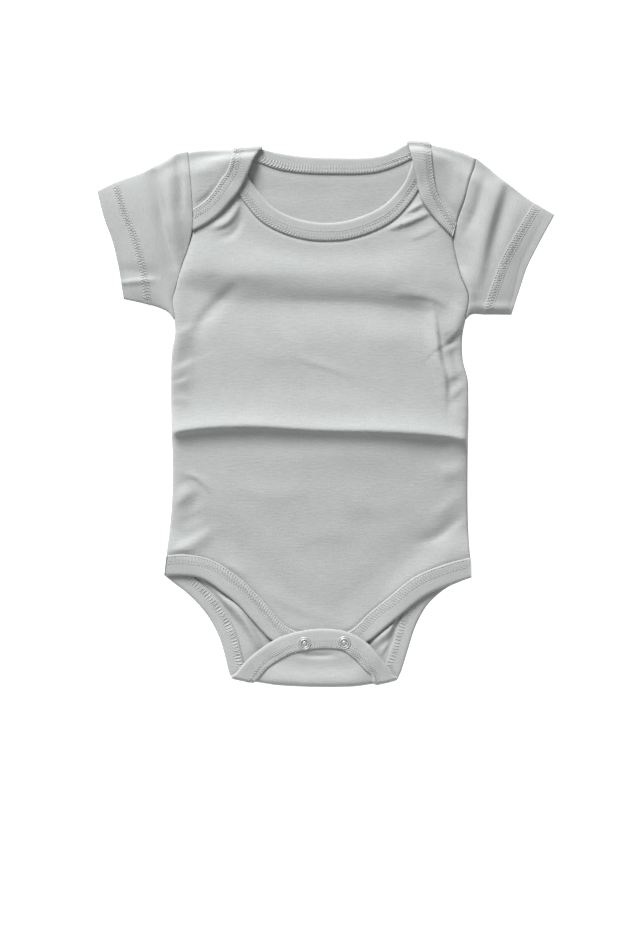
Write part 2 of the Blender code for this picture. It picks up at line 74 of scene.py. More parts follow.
# %% Sizes
CLOTH = 0.62  # thickness of the jersey
STEP = 1.0  # from the middle of one layer to the middle of the next
AIR = 0.25  # more room below a flap or the tail, which lie loose
FLOOR = 0.4  # middle of the cloth that rests on the surface
TUCK = 2.0  # from a binding's fold to the raw edge inside it
PUFF, SLEEVE_PUFF = 3.2, 3.5  # the air in the body and in a sleeve
HEEL = 2.0  # how far the bottom rises towards its fold
ZONE, RAMP = 10.0, 20.0  # a binding lifts what lies over it this far, then less and less
LEVEL = 8.0  # beside a fold the cloth is level this far
SEWN = 7.5  # the stitches hold the cloth flat this far from a binding's middle
SEAM_WIDTH = 9.0  # half width of the rise along a side seam
SKIN = 0.5  # from a fold's crest in to the middle of its cloth
PITCH = 2.1  # from stitch to stitch
print("jersey", CLOTH, "mm thick, layers", STEP, "mm apart")

# %% Where the bindings meet the folds: x of the outer fold and of the inner edge
NECK_RIGHT, NECK_LEFT = (-48, -70), (61.5, 79.6)
LEG_RIGHT, LEG_LEFT = (-73, -57), (56, 39.5)
TAIL_RIGHT, TAIL_LEFT = (-70.5, -52), (53, 35)
print("neck opening:", NECK_LEFT[0] - NECK_RIGHT[0], "mm between the bindings")

# %% [markdown]
# ## Outlines and bindings
# The outline is made of folds, side seams and armholes. It could be traced
# closely, but a sewn edge is a smooth curve, so a few points hold it and are
# easy to move. A binding is drawn by rows across it, as its width changes where
# it turns.

# %% Fold lines and seams: x, y
SHOULDER_FOLD = [
    (-112, 197.5), (-98, 199.8), (-80, 201), (-66, 202.1), (-48, 203.6), (-40, 204),
    (58, 207.5), (67, 207.5), (75, 206.6), (84, 204.2), (93, 201.8), (107, 197.2), (118, 191.5),
]
BOTTOM_FOLD = [
    (-80, -197), (-73, -200.5), (-62, -203.3), (-43, -205.6), (-20, -207.1),
    (10, -207.5), (35, -206.3), (47, -204.4), (56.5, -201.3), (62, -199),
]
SIDE_RIGHT = [
    (-114.5, 71), (-114, 61), (-116.3, 48), (-117.2, 21), (-117, -9),
    (-116, -43), (-116.8, -70), (-119.5, -97), (-122.5, -121),
]
SIDE_LEFT = [
    (106, 71.5), (104, 62), (104.3, 39), (107.5, 27), (108, 10), (107.5, -43),
    (107.7, -75), (109, -105), (110.5, -122.5),
]
ARMHOLE_RIGHT = [
    (-104.5, 199), (-102.5, 178), (-101, 157), (-101.5, 138), (-104, 127),
    (-109, 113), (-113, 99), (-116, 85), (-114.5, 71),
]
ARMHOLE_LEFT = [
    (114, 193.8), (113, 187), (109.5, 178), (105.5, 162), (100, 146), (97, 133), (99, 119),
    (103, 104), (108.5, 89), (106, 71.5),
]
print("half chest:", SIDE_LEFT[4][0] - SIDE_RIGHT[3][0], "mm")

# %% Front bindings, in rows: outer fold x, y, then inner edge x, y
ROWS = {
    "front_neck": [
        (-63, 192, -77, 190), (-58.5, 179.5, -69.5, 172.5), (-49, 166, -59.3, 157),
        (-38.5, 155.5, -48, 145), (-25, 149, -30.5, 136), (-11.5, 145.5, -13.5, 131.7),
        (3, 144.5, 3, 130.8), (15, 146, 16.5, 132), (29, 150.3, 34, 137.2),
        (42.5, 157, 50, 145.5), (52.5, 166, 61, 156), (59.5, 175, 70, 168.5),
        (64, 186, 77, 182), (67, 197, 81, 195.3),
    ],
    "front_legs": [
        (-122.5, -123, -120.5, -107.5), (-106.5, -123, -106, -107), (-96, -124.6, -92, -109.3),
        (-77, -136.5, -67.5, -123), (-65.5, -146, -54.5, -134.5), (-56, -156.5, -44.5, -145.5),
        (-40, -173, -30.5, -161), (-29, -179.5, -23, -165), (-15, -182.5, -13, -167),
        (-2, -183, -2, -167.5), (11, -182.5, 9, -167), (23, -179.5, 18, -165),
        (33, -172.5, 25, -159.5), (44, -163.5, 33.5, -151), (56, -153.5, 46, -141),
        (77, -137.5, 69, -123), (98, -128.5, 94.5, -113), (110.5, -124.5, 110.2, -109),
    ],
}
print("front bindings:", {name: len(rows) for name, rows in ROWS.items()}, "rows")


# %% Back bindings, which end on the folds
def at_fold(xs):
    """A row on a fold, from x of its outer and of its inner end. Both y are 0
    here and are read off the fold later."""
    return xs[0], 0, xs[1], 0


ROWS |= {
    "back_neck": [
        at_fold(NECK_RIGHT), (-42, 200.6, -57, 193.5), (-35.5, 198.8, -44, 187.8),
        (-22, 196.3, -26, 183.4), (-8, 195, -9, 181.9), (7, 194.6, 7, 181.6),
        (23, 194.3, 24.5, 181.7), (37, 195.2, 41, 183.6), (46, 197.3, 54.5, 188.2),
        (53.5, 201, 67, 194.5), at_fold(NECK_LEFT),
    ],
    "flap_right": [
        at_fold(NECK_RIGHT), (-53.5, 194.5, -72, 191.5), (-58.5, 182.5, -74.5, 184),
        (-66, 168, -79.5, 177), (-73, 159.5, -84.5, 169.5), (-79.5, 152.3, -89, 164),
        (-91, 143.5, -95.5, 158.3), (-101, 138.3, -100.6, 155),
    ],
    "flap_left": [
        at_fold(NECK_LEFT), (65.5, 192, 80.5, 192), (68.3, 180, 81.8, 181),
        (70.3, 169.5, 83.3, 171.5), (73.5, 160, 86.3, 163.5), (78.5, 153, 90.3, 157.6),
        (86.5, 143.5, 94.8, 151.3), (96.2, 134, 98.8, 144.5),
    ],
    "back_leg_right": [
        (-122.5, -123, -120.5, -107.5), (-114.5, -129.3, -108.5, -113.5),
        (-106.5, -135.3, -98.9, -124.6), (-99, -142.3, -89.6, -133.3),
        (-91, -151.5, -80.6, -143.5), (-85, -161, -73.7, -154.5), (-80, -172, -67.9, -167),
        (-77, -182, -64.4, -179.1), (-75, -190.5, -62.2, -188.8), at_fold(LEG_RIGHT),
    ],
    "back_leg_left": [
        at_fold(LEG_LEFT), (59, -190.5, 46, -187.6), (63, -177, 50.6, -173.6),
        (67, -164.5, 54.7, -159.9), (72, -153.5, 60.6, -147.2), (77.5, -145, 67.3, -136.9),
        (84, -138.5, 75, -129.1), (93.5, -131.5, 87.2, -119.7), (102, -127.8, 98, -112.5),
        (110.5, -124.5, 110.2, -109),
    ],
    "tail": [
        at_fold(TAIL_RIGHT), (-62.5, -189.8, -46, -195.5), (-50.5, -179, -38.5, -189.3),
        (-32.5, -168.5, -24.5, -181.5), (-20, -164.9, -15.5, -179.6), (0, -163, -1, -178.2),
        (17.5, -165.8, 12.5, -179.5), (31, -173.5, 21.5, -185.8), (42, -186, 30, -195),
        (48, -192.8, 34, -198.5), at_fold(TAIL_LEFT),
    ],
}
SNAPS = {"right": (-16.0, -174.0), "left": (14.0, -173.5)}
print(sum(map(len, ROWS.values())), "rows on", len(ROWS), "stretches of binding")

# %% How far the side seams stand off the surface: y, height
LIFT_LEFT = [
    (-120, 0), (-60, 0.9), (-34, 1.9), (-12, 2.0), (6, 1.9), (18, 1.2), (30, 0.5), (44, 0.5),
    (60, 1.4), (78, 2.6), (96, 1.6), (112, 0),
]
LIFT_RIGHT = [
    (-120, 0), (-60, 0.7), (-28, 0.7), (-8, 0.6), (6, 0.5), (16, 1.8), (30, 3.2), (60, 3.5),
    (76, 2.8), (94, 1.2), (112, 0),
]
print("highest seam:", max(high for _, high in LIFT_LEFT + LIFT_RIGHT), "mm")

# %% [markdown]
# ## Creases, one line each
# A crease is a path, a half width, a height (below zero for a trough) and a
# lean: a crease that leans has one slope steeper than the other, as cloth has
# that was pressed in a packet. They are placed one by one, because a real
# garment's creases come from its own story and no noise texture knows it.

# %% Creases across the front: path, half width, height, lean
BODY_CREASES = [
    ([(-66, 98), (-80, 86), (-92, 73), (-101, 57)], 5.6, -1.5, 0.2),
    ([(-24, 42.5), (-2, 35.8), (23, 27.5)], 3.5, 0.5, 0.3),
    ([(-12, -22), (30, -24), (72, -27)], 20, 1.2, 0),
    ([(-40, 66), (-24, 52), (-18, 38)], 6, 0.4, 0),
    ([(-80, 20), (-40, 24), (0, 18)], 11, -0.35, 0),
    ([(50, 91), (64, 90), (76, 88.5), (86, 85), (93, 80.5)], 4.5, 1.1, 0.5),
    ([(-84, -30), (-40, -34), (20, -31), (80, -36)], 10, 0.5, 0),
    ([(-60, -96), (-30, -112), (-10, -130)], 14, 0.5, 0),
    ([(60, -60), (30, -84), (14, -112)], 13, -0.4, 0),
    ([(-50, -134), (-10, -152), (10, -156)], 5, 0.5, 0.3),
]
print(len(BODY_CREASES), "creases across the front")

# %% Creases down the right side and by its leg
RIGHT_CREASES = [
    ([(-121, 59), (-110, 60.5), (-98, 66)], 10, 1.5, -0.6),
    ([(-120, 32), (-110, 33.5), (-98, 40)], 6.5, 1.3, -0.55),
    ([(-119, 22), (-110, 23), (-102, 27)], 4.5, 1.0, -0.55),
    ([(-118, 9), (-111, 11), (-103, 8)], 5, 0.9, -0.3),
    ([(-100, 60), (-99, 44), (-97, 30)], 4, -0.4, 0),
    ([(-106, -46), (-98, -49), (-92, -54), (-88, -60)], 2.2, 0.9, 0.45),
    ([(-113, -56), (-105, -52), (-98, -55)], 4.0, -0.6, 0),
    ([(-116, -70), (-109, -64), (-102, -58)], 5.0, 1.6, 0.2),
    ([(-97, -60), (-100, -70), (-108, -76)], 4, -0.8, 0),
    ([(-119, -107), (-108, -102), (-97, -96), (-86, -88)], 5.2, 1.9, -0.2),
    ([(-84, -124), (-72, -120), (-62, -128)], 7, 1.1, 0),
    ([(-110, -84), (-102, -80), (-93, -76)], 4.5, -0.8, 0),
]
print(len(RIGHT_CREASES), "creases on the right")

# %% Creases under the left arm and down the left side
LEFT_CREASES = [
    ([(82, 80), (84, 62), (85.3, 48), (87, 38), (90, 29), (91.5, 8)], 3.4, 3.0, -0.62),
    ([(91, 62), (96, 50), (99, 38), (101, 26)], 5.5, -1.9, 0.5),
    ([(110, 74), (103, 66), (96, 59), (90, 53.5)], 10.5, 3.0, -0.72),
    ([(103, 64.5), (97, 57), (90, 50)], 1.5, -0.9, 0.3),
    ([(103, 53), (96, 50), (90, 46)], 2.6, 0.9, 0),
    ([(91, 25), (97, 29), (105, 34)], 6, 1.5, 0.5),
    ([(94, 11), (99, 16), (106, 22)], 3, 1.0, 0.2),
    ([(98, 8), (101, -4), (107, -8)], 4, 0.9, 0),
    ([(108, -20), (98, -26), (88, -36)], 6, 0.6, 0.2),
    ([(108, -74), (97, -84), (84, -94), (68, -98)], 4.6, -1.3, -0.25),
    ([(86, -46), (97, -44), (107, -43)], 7, 1.5, 0),
]
print(len(LEFT_CREASES), "creases on the left")

# %% Soft dents of the belly, and creases pulled up to the flaps
SOFT_CREASES = [
    ([(30, 66), (48, 58), (66, 60)], 9, 0.5, 0),
    ([(-64, 52), (-44, 44), (-20, 46)], 8, 0.5, 0.2),
    ([(-70, -52), (-44, -62), (-12, -58)], 9, 0.5, 0.2),
    ([(16, -66), (40, -72), (66, -64)], 8, 0.45, 0),
    ([(-30, -100), (4, -92), (36, -98)], 7, 0.35, 0.2),
    ([(-16, 12), (14, 6), (44, 10)], 8, 0.4, 0),
    # by the left leg
    ([(108, -88), (98, -97), (84, -106)], 7, 0.8, 0),
    ([(104, -62), (92, -70), (82, -80)], 5, 0.6, 0),
]
FLAP_PULLS = [
    ([(49, 147), (58, 151.5), (67, 155.5), (76, 160)], 1.8, 1.5, 0.4),
    ([(47, 140), (58, 143), (69, 147.5), (81, 153)], 2.2, 1.7, 0.4),
    ([(62, 132), (72, 135), (84, 141)], 3, 0.7, 0.3),
    ([(-65, 162), (-69, 152), (-74.5, 145), (-86, 140)], 2.8, 2.0, -0.3),
    ([(-63, 152), (-65.5, 144), (-71, 136), (-82, 132)], 3, -0.9, 0),
    ([(-97, 132), (-90, 118), (-86, 102)], 6, 0.8, 0),
]
FRONT_CREASES = BODY_CREASES + RIGHT_CREASES + LEFT_CREASES + SOFT_CREASES + FLAP_PULLS
print(len(FRONT_CREASES), "creases on the front")

# %% Creases inside the back, on the tail, the flaps and the sleeves
BACK_CREASES = [
    (
        [(-92, -130), (-82, -138.7), (-67, -149), (-58.5, -161), (-53.5, -170), (-48, -181)],
        3.1, 4.3, -0.18,
    ),
    ([(-74, -153), (-69, -153.6), (-64, -156)], 1.6, 0.8, 0.3),
    ([(68, -148), (58, -156), (46, -166), (34, -176)], 3.1, 3.3, 0.28),
    ([(55, -172), (48, -176), (41, -181)], 2.6, 1.5, 0),
    ([(-70, 166), (-30, 160), (20, 161), (66, 168)], 7, 0.35, 0),
    ([(-90, 40), (-30, 52), (50, 44), (88, 56)], 6, 0.8, 0.3),
    ([(-80, -60), (-20, -70), (40, -58)], 6, 0.7, 0.3),
    ([(-60, 110), (0, 100), (60, 108)], 6, 0.6, 0.3),
]
TAIL_CREASES = [
    ([(-20, -182.2), (-6, -183.8), (8, -183)], 1.9, -1.3, 0.2),
]
FLAP_CREASES = [
    ([(-98, 204), (-97, 186), (-96, 160)], 10, 2.4, 0),
    ([(-104, 193), (-92, 190), (-76, 192)], 9, 1.4, 0),
    ([(108, 204), (109, 184), (105, 152)], 14, 3.0, 0),
    ([(104, 192), (104.5, 181), (103.5, 170)], 2.0, -0.7, 0),
]
SLEEVE_CREASES = [
    (
        [(-131, 190), (-128, 172), (-124.5, 157), (-123, 144), (-118.5, 126), (-113, 106)],
        4.4, -2.9, -0.4,
    ),
    ([(-120, 188), (-118, 165), (-115, 140), (-110, 122)], 4.6, 1.9, 0),
    ([(-112, 198), (-110, 180), (-108, 156)], 3.0, -1.9, -0.3),
    ([(-137, 186), (-126, 192), (-114, 198)], 4.6, 1.5, -0.3),
    ([(-158, 108), (-140, 107), (-124, 104)], 5, -0.9, 0),
    ([(-116, 90), (-113.5, 84), (-112, 76)], 2.6, -0.9, 0),
    ([(-160, 99), (-145, 100.6), (-128, 101.6)], 1.8, 1.2, -0.4),
    ([(136, 184), (131, 168), (125.5, 150), (121, 131), (117, 111), (112, 93)], 6.4, 2.8, -0.25),
    ([(143, 182), (138, 168), (132, 150), (126, 130), (121, 108)], 6, -1.5, 0.2),
    ([(120, 182), (117, 166), (112.5, 150), (104, 134)], 4, -1.2, 0),
    ([(110, 81), (126, 80), (145, 80.5)], 3.4, 1.3, 0),
    ([(146, 160), (139, 138), (134, 112)], 6, 0.7, 0),
    ([(103, 112), (108, 99), (113, 84)], 3.2, 1.3, 0),
]
OTHERS = (BACK_CREASES, TAIL_CREASES, FLAP_CREASES, SLEEVE_CREASES)
print(sum(map(len, OTHERS)), "creases elsewhere")

# %% [markdown]
# ## Curves and distances
# Seams, folds and creases are drawn by a few points each, and a smooth curve is
# laid through them. Curve objects could hold them too. Here they are rows of
# points, because the cloth has to ask how far away every one of them is.


# %% Curves
def lengths(points):
    """How far along a line each point is: the running sum of its steps."""
    return np.r_[0, np.cumsum(np.linalg.norm(np.diff(points, axis=0), axis=1))]


def unit(vectors):
    """The same directions, each divided by its length."""
    return vectors / np.linalg.norm(vectors, axis=-1, keepdims=True)


def smooth(table, spacing):
    """A curve through a table's rows, sampled about every `spacing` mm.

    Each stretch is a cubic whose slope at a row is the slope between that
    row's neighbours, and length is measured in the first two columns.
    """
    rows = np.array(table, float)
    along = lengths(rows[:, :2])
    slope = np.gradient(rows, along, axis=0)
    at = np.linspace(0, along[-1], max(2, round(along[-1] / spacing) + 1))
    i = np.clip(np.searchsorted(along, at, side="right") - 1, 0, len(rows) - 2)
    span = (along[i + 1] - along[i])[:, None]
    w = (at[:, None] - along[i][:, None]) / span
    return (
        rows[i] * (2 * w**3 - 3 * w**2 + 1)
        + rows[i + 1] * (3 * w**2 - 2 * w**3)
        + span * (slope[i] * (w**3 - 2 * w**2 + w) + slope[i + 1] * (w**3 - w**2))
    )


# %% Distances and fades
def nearest(x, y, line):
    """For each point: its distance from a polyline, which side of the line it
    is on (1 or -1), and how far along the line its nearest point is, 0 to 1."""
    x, y = np.broadcast_arrays(np.asarray(x, float), np.asarray(y, float))
    best = np.full(x.shape, 1e9)
    side, share = np.zeros(x.shape), np.zeros(x.shape)
    for i, ((ax, ay), (bx, by)) in enumerate(zip(line[:-1], line[1:])):
        dx, dy = bx - ax, by - ay
        t = np.clip(((x - ax) * dx + (y - ay) * dy) / (dx * dx + dy * dy), 0, 1)
        far = np.hypot(x - ax - t * dx, y - ay - t * dy)
        near = far < best
        best = np.where(near, far, best)
        side = np.where(near, np.sign(dx * (y - ay) - dy * (x - ax)), side)
        share = np.where(near, (i + t) / (len(line) - 1), share)
    return best, side, share


def distance(x, y, line):
    """How far each point is from a polyline."""
    return nearest(x, y, line)[0]


def fade(far, flat, ramp):
    """1 up to `flat`, then down to 0 over `ramp` on an S, 1 - t^2 * (3 - 2 * t)."""
    t = np.clip((far - flat) / ramp, 0, 1)
    return 1 - t * t * (3 - 2 * t)


def creases(x, y, table):
    """The sum of the creases: height * exp(-(distance / width)^2), where the
    width is wider on one side by the lean, tapered to nothing at both ends."""
    total = np.zeros(np.shape(x))
    for path, width, height, lean in table:
        far, side, share = nearest(x, y, smooth(path, 4.0))
        taper = np.sin(math.pi * np.clip(share, 0.02, 0.98)) ** 0.6
        total += height * taper * np.exp(-((far / (width * (1 + lean * side))) ** 2))
    return total


# %% [markdown]
# ## How high each layer lies
# The heights are fields: functions of the place on the table. The front lies on
# the back, the flaps and the tail lie on the front, and wherever a binding is
# folded round an edge everything above it is lifted by one step. A cloth
# simulation could drop the layers on each other, but it would choose its own
# folds, and layers as thin as these would pass through each other.

# %% Fold crests and the middle lines of the bindings
# the shoulder fold has a corner at the neck, so its two parts are smoothed apart
TOP_CREST = np.concatenate([smooth(SHOULDER_FOLD[:6], 2.0), smooth(SHOULDER_FOLD[6:], 2.0)])
LOW_CREST = smooth(BOTTOM_FOLD, 2.0)


def top_at(x):
    """y of the shoulder fold's crest, read off its line at x."""
    return np.interp(x, TOP_CREST[:, 0], TOP_CREST[:, 1])


def low_at(x):
    """y of the bottom fold's crest, read off its line at x."""
    return np.interp(x, LOW_CREST[:, 0], LOW_CREST[:, 1])


def on_fold(name, rows):
    """The rows with each y = 0 put on the crest of the piece's own fold."""
    crest = low_at if name in ("tail", "back_leg_right", "back_leg_left") else top_at
    return [(a, b or float(crest(a)), c, d or float(crest(c))) for a, b, c, d in rows]


ROWS = {name: on_fold(name, rows) for name, rows in ROWS.items()}
# a row of outer x, y and inner x, y times HALVES is the point half way between
HALVES = np.array([[0.5, 0], [0, 0.5], [0.5, 0], [0, 0.5]])
MIDDLE = {name: smooth(rows, 6.0) @ HALVES for name, rows in ROWS.items()}
SEAMS = [smooth(t, 8.0) for t in (SIDE_LEFT, SIDE_RIGHT, ARMHOLE_LEFT, ARMHOLE_RIGHT)]


# %% Where the bindings and seams lift the cloth
FRONT_BOUND = ("front_neck", "front_legs")
BACK_BOUND = ("back_neck", "back_leg_right", "back_leg_left")
FLAP_BOUND = ("flap_right", "flap_left")


def from_bindings(x, y, names):
    """How far the nearest middle line of these bindings is."""
    return np.min([distance(x, y, MIDDLE[n]) for n in names], axis=0)


def under(x, y, names):
    """1 where one of these bindings lies, falling smoothly to 0 beside it."""
    return fade(from_bindings(x, y, names), ZONE, RAMP)


def level(x, y):
    """y, held short of the folds so that the cloth is level beside them."""
    return np.clip(y, low_at(x) + LEVEL, top_at(x) - LEVEL)


def back_lift(x, y):
    """How much of a step the back's bindings add, from 0 to 1."""
    return under(x, y, BACK_BOUND)


def front_lift(x, y):
    """How much of a step the front's bindings add, from 0 to 1."""
    return under(x, y, FRONT_BOUND)


def seam_distances(x, y):
    """How far the nearest seam is, for the left and for the right side."""
    far = [distance(x, y, seam) for seam in SEAMS]
    return np.minimum(far[0], far[2]), np.minimum(far[1], far[3])


def edge_lift(x, y):
    """The side seams stand off the surface, stiff with their allowances:
    height * exp(-(distance / SEAM_WIDTH)^2)."""
    total = 0
    for far, table in zip(seam_distances(x, y), (LIFT_LEFT, LIFT_RIGHT)):
        total = total + np.interp(y, *zip(*table)) * np.exp(-((far / SEAM_WIDTH) ** 2))
    return total


# %% The back and its folds
# half the gap inside a fold, where the cloth is single and where it is bound
TOP_RADII, LOW_RADII = (0.95, 1.65), (3.6, 1.8)


def base(x, y):
    """Middle of a cloth that lies on the surface. It rises at the side seams,
    and over some 60 mm by HEEL to the bottom fold, which is not pressed."""
    return FLOOR + edge_lift(x, y) + HEEL * fade(y - low_at(x), 4, 56)


def fold_radius(x, y, radii=TOP_RADII):
    """Half the gap between the back and what folds over it: single + (bound -
    single) * lift, as the bindings go round the fold with the cloth."""
    single, bound = radii
    return single + (bound - single) * back_lift(x, level(x, y))


def low_radius(x, y):
    """The same at the bottom fold, which is rounder, because nobody pressed it."""
    return fold_radius(x, y, LOW_RADII)


def back_height(x, y):
    """Middle of the back, which is one step up over its binding."""
    y = level(x, y)
    return base(x, y) + STEP * back_lift(x, y)


# %% The front's height
def within(x, y, scale=40):
    """0 at a seam, growing to 1 as 1 - exp(-distance / scale)."""
    return 1 - np.exp(-np.minimum(*seam_distances(x, y)) / scale)


# the packet's ridge and the chest's folds: x, y, height
PACK_RIDGE = smooth([
    (-118, -14.8, 6.0), (-103, -12.2, 6.6), (-65, -9.8, 6.6), (-4, -12.5, 6.2),
    (56.5, -14.4, 6.6), (84, -16.4, 6.6), (98, -18.2, 6.2), (109, -21, 5.2),
], 4.0)
CHEST_RISE = smooth([
    (-112, 112, 0.8), (-95, 110, 1.8), (-77, 107, 2.6), (-45, 107, 2.6), (-20, 107, 1.9),
    (5, 108, 1.6), (30, 107, 1.4), (50, 104, 1.6), (75, 101, 1.4), (100, 101, 0.5),
], 4.0)
CHEST_HOLLOW = smooth([
    (-112, 96, 1.2), (-95, 90, 1.7), (-77, 84, 1.8), (-45, 83, 2.1), (0, 83, 3.2), (25, 82, 3.3),
    (50, 79, 3.3), (72, 76, 2.9), (86, 72, 1.6), (100, 70, 0.2),
], 4.0)
RIDGE_WIDTHS = (11.5, 4.2)  # half widths above and below its line
CHEST = ((CHEST_RISE, (17, 10), 1), (CHEST_HOLLOW, (9, 17), -1))  # line, half widths, sign


def off_line(x, y, path, widths):
    """How far y is above a fold that runs across the body, as a share of its
    half width above or below, and the fold's height at x."""
    off = y - np.interp(x, path[:, 0], path[:, 1])
    return off / np.where(off > 0, *widths), np.interp(x, path[:, 0], path[:, 2])


def front_height(x, y):
    """Middle of the front: over the back and its binding, with air inside that
    thins out above y = 130 and below -55, the sharp ridge that the packet left
    across the body, height * exp(0.2 - root of (distance^2 + 0.04)), and the
    chest's rise and hollow, height * exp(-distance^2). All end at the seams."""
    y = level(x, y)
    lift = front_lift(x, y)
    far, high = off_line(x, y, PACK_RIDGE, RIDGE_WIDTHS)
    ridge = high * np.exp(0.2 - np.sqrt(far**2 + 0.04))
    folds = 0
    for path, widths, sign in CHEST:
        far, high = off_line(x, y, path, widths)
        folds = folds + sign * high * np.exp(-(far**2))
    air = PUFF * fade(y, 130, 45) * (0.35 + 0.65 * fade(-y, 55, 60))
    calm = 1 - fade(from_bindings(x, y, FRONT_BOUND), ZONE, 40)
    folds = within(x, y, 3.5) * folds + within(x, y, 1.4) * ridge
    puff = calm * within(x, y) * air + (1 - lift) * folds
    return base(x, y) + STEP + 2 * STEP * back_lift(x, y) + STEP * lift + puff


# %% The flaps and the tail
ARM_HOLD = 0.25  # share of their distance that the armhole's seam takes from the layers
FOLD_FLAT = 4.5  # a piece keeps the fold's own height this far from it


def over_height(x, y, from_fold, ramp, radius, names):
    """Middle of a piece that is folded over onto the front: on the stack, closer
    by ARM_HOLD * exp(-distance / 6) at the armhole, and let down over `ramp` to
    the fold, where no front lies below."""
    y = level(x, y)
    apart = STEP * (1 + front_lift(x, y) + under(x, y, names)) + AIR
    armhole = np.minimum(distance(x, y, SEAMS[2]), distance(x, y, SEAMS[3]))
    stack = front_height(x, y) + apart * (1 - ARM_HOLD * np.exp(-armhole / 6))
    low = back_height(x, y) + 2 * radius(x, y)
    return stack + (low - stack) * fade(from_fold, FOLD_FLAT, ramp)


def flap_height(x, y):
    """Middle of a shoulder flap, let down to the fold over 5.5 mm."""
    return over_height(x, y, top_at(x) - y, 5.5, fold_radius, FLAP_BOUND)


def flap_folds(x, y):
    """A flap's own creases, none at its binding nor for 5 mm from the fold."""
    free = 1 - fade(from_bindings(x, y, FLAP_BOUND), SEWN, 4)
    free = free * (1 - fade(top_at(x) - y, 5, 14))
    return (free * creases(x, y, FLAP_CREASES)).clip(-1.2, 3.2)


def tail_height(x, y):
    """Middle of the tail, let down to the fold over 18 mm. It stands 0.5 mm
    higher over the line of the studs."""
    studs = np.array([SNAPS["right"], SNAPS["left"]])
    on_studs = 0.5 * fade(distance(x, y, studs), 9, 12)
    return over_height(x, y, y - low_at(x), 18, low_radius, ("tail",)) + on_studs


print("front at the middle:", round(float(front_height(0.0, 0.0)), 2), "mm up")


# %% [markdown]
# ## From the flat cut to the folded garment
# The back is one cut: its shoulder flaps and its tail are part of it. Flaps and
# tail could be sheets of their own, but the fold would then be an open gap.
# fold_back takes a point of the flat cut to where it lies: past the fold it
# goes half way round a circle and comes back above.

# %% Folding
def bends(x):
    """For each x: where the folds start in y, and their radii."""
    near_top, near_low = top_at(x) - LEVEL, low_at(x) + LEVEL
    r_top, r_low = fold_radius(x, near_top), low_radius(x, near_low)
    out_top = SKIN + STEP * back_lift(x, near_top)
    out_low = SKIN + STEP * back_lift(x, near_low)
    return top_at(x) - out_top - r_top, r_top, low_at(x) + out_low + r_low, r_low


def fold_back(x, q):
    """Flat cut (x, q) to folded (x, y, z). Past a fold's start the turn is
    length / radius, up to half a turn, and the rest of the length comes back."""
    top, r_top, low, r_low = bends(x)
    past_top, past_low = np.clip(q - top, 0, None), np.clip(low - q, 0, None)
    turn_top = np.minimum(past_top / r_top, math.pi)
    turn_low = np.minimum(past_low / r_low, math.pi)
    back_top = np.clip(past_top - math.pi * r_top, 0, None)
    back_low = np.clip(past_low - math.pi * r_low, 0, None)
    y = np.clip(q, low, top)
    y = y + r_top * np.sin(turn_top) - r_low * np.sin(turn_low) - back_top + back_low
    z = back_height(x, y) + r_top * (1 - np.cos(turn_top)) + r_low * (1 - np.cos(turn_low))
    z = np.where(back_top > 0, flap_height(x, y), z)
    z = np.where(back_low > 0, tail_height(x, y), z)
    return np.stack([x, y, z], -1)


def flat_of_flap(x, y):
    """Where a point of a folded flap is on the flat cut: past the fold's start
    by half a circle and by as much as it has come back."""
    top, r_top, _, _ = bends(x)
    return top + math.pi * r_top + np.maximum(top - y, 0)


def flat_of_tail(x, y):
    """The same for a point of the folded tail."""
    _, _, low, r_low = bends(x)
    return low - math.pi * r_low - np.maximum(y - low, 0)


def lay_front(x, y):
    """The front is not folded: a point keeps its x and y and takes its height."""
    return np.stack([x, y, front_height(x, y)], -1)


# %% Binding strips on the flat cut: outer fold and inner edge, every 1.5 mm
def strip(name, spacing=1.5):
    """A binding's rows as stations: (outer, inner) points on the flat cut.
    Where a fold's round part begins short of its crest, the rows near it are
    eased back by gap * exp(-distance from the crest / (1.3 * gap))."""
    s = smooth(ROWS[name], spacing)
    x, y = s[:, [0, 2]], s[:, [1, 3]]
    if name.startswith("front"):
        return np.stack([x, y], -1)
    top, _, low, _ = bends(x)
    for crest, start in ((top_at(x), top), (low_at(x), low)):
        y = y + (start - crest) * np.exp(-np.abs(y - crest) / (1.3 * np.abs(start - crest)))
    if name.startswith("flap"):
        y = flat_of_flap(x, y)
    elif name == "tail":
        y = flat_of_tail(x, y)
    return np.stack([x, y], -1)


def round_fold(x, which, turns, to=None):
    """Rows of points round a fold, one for each share of the half turn: start
    plus share * pi * radius. They slide from x to another x on the way."""
    x = np.array(x, float) + np.outer(turns, np.subtract(x if to is None else to, x))
    top, r_top, low, r_low = bends(x)
    turns = math.pi * turns[:, None]
    q = top + turns * r_top if which == "top" else low - turns * r_low
    return np.stack([x, q], -1)


TURNS = np.linspace(0, 1, 11)[1:-1]  # shares of a half turn, without its ends
STRIPS = {
    "front_neck": strip("front_neck"),
    "front_legs": strip("front_legs"),
    "back_neck": np.concatenate([
        strip("flap_right")[::-1], round_fold(NECK_RIGHT, "top", TURNS)[::-1],
        strip("back_neck"), round_fold(NECK_LEFT, "top", TURNS), strip("flap_left"),
    ]),
    "back_legs": np.concatenate([
        strip("back_leg_right"), round_fold(LEG_RIGHT, "low", TURNS, TAIL_RIGHT), strip("tail"),
        round_fold(LEG_LEFT, "low", TURNS, TAIL_LEFT)[::-1], strip("back_leg_left"),
    ]),
}
for name, s in STRIPS.items():
    print(name, "strip:", round(lengths(s[:, 0])[-1]), "mm")


# %% [markdown]
# ## Patches
# A cut piece has four edges. A patch blends them: near an edge it follows that
# edge, and inside it mixes all four, which is how a sheet would be stretched
# over a wire frame of its own outline. A filled outline would do as well, but
# its triangles run anywhere, while a patch's grid lines follow the cut. Where
# an edge turns sharply the blend squeezes its cells, so the back's grid is then
# evened out.

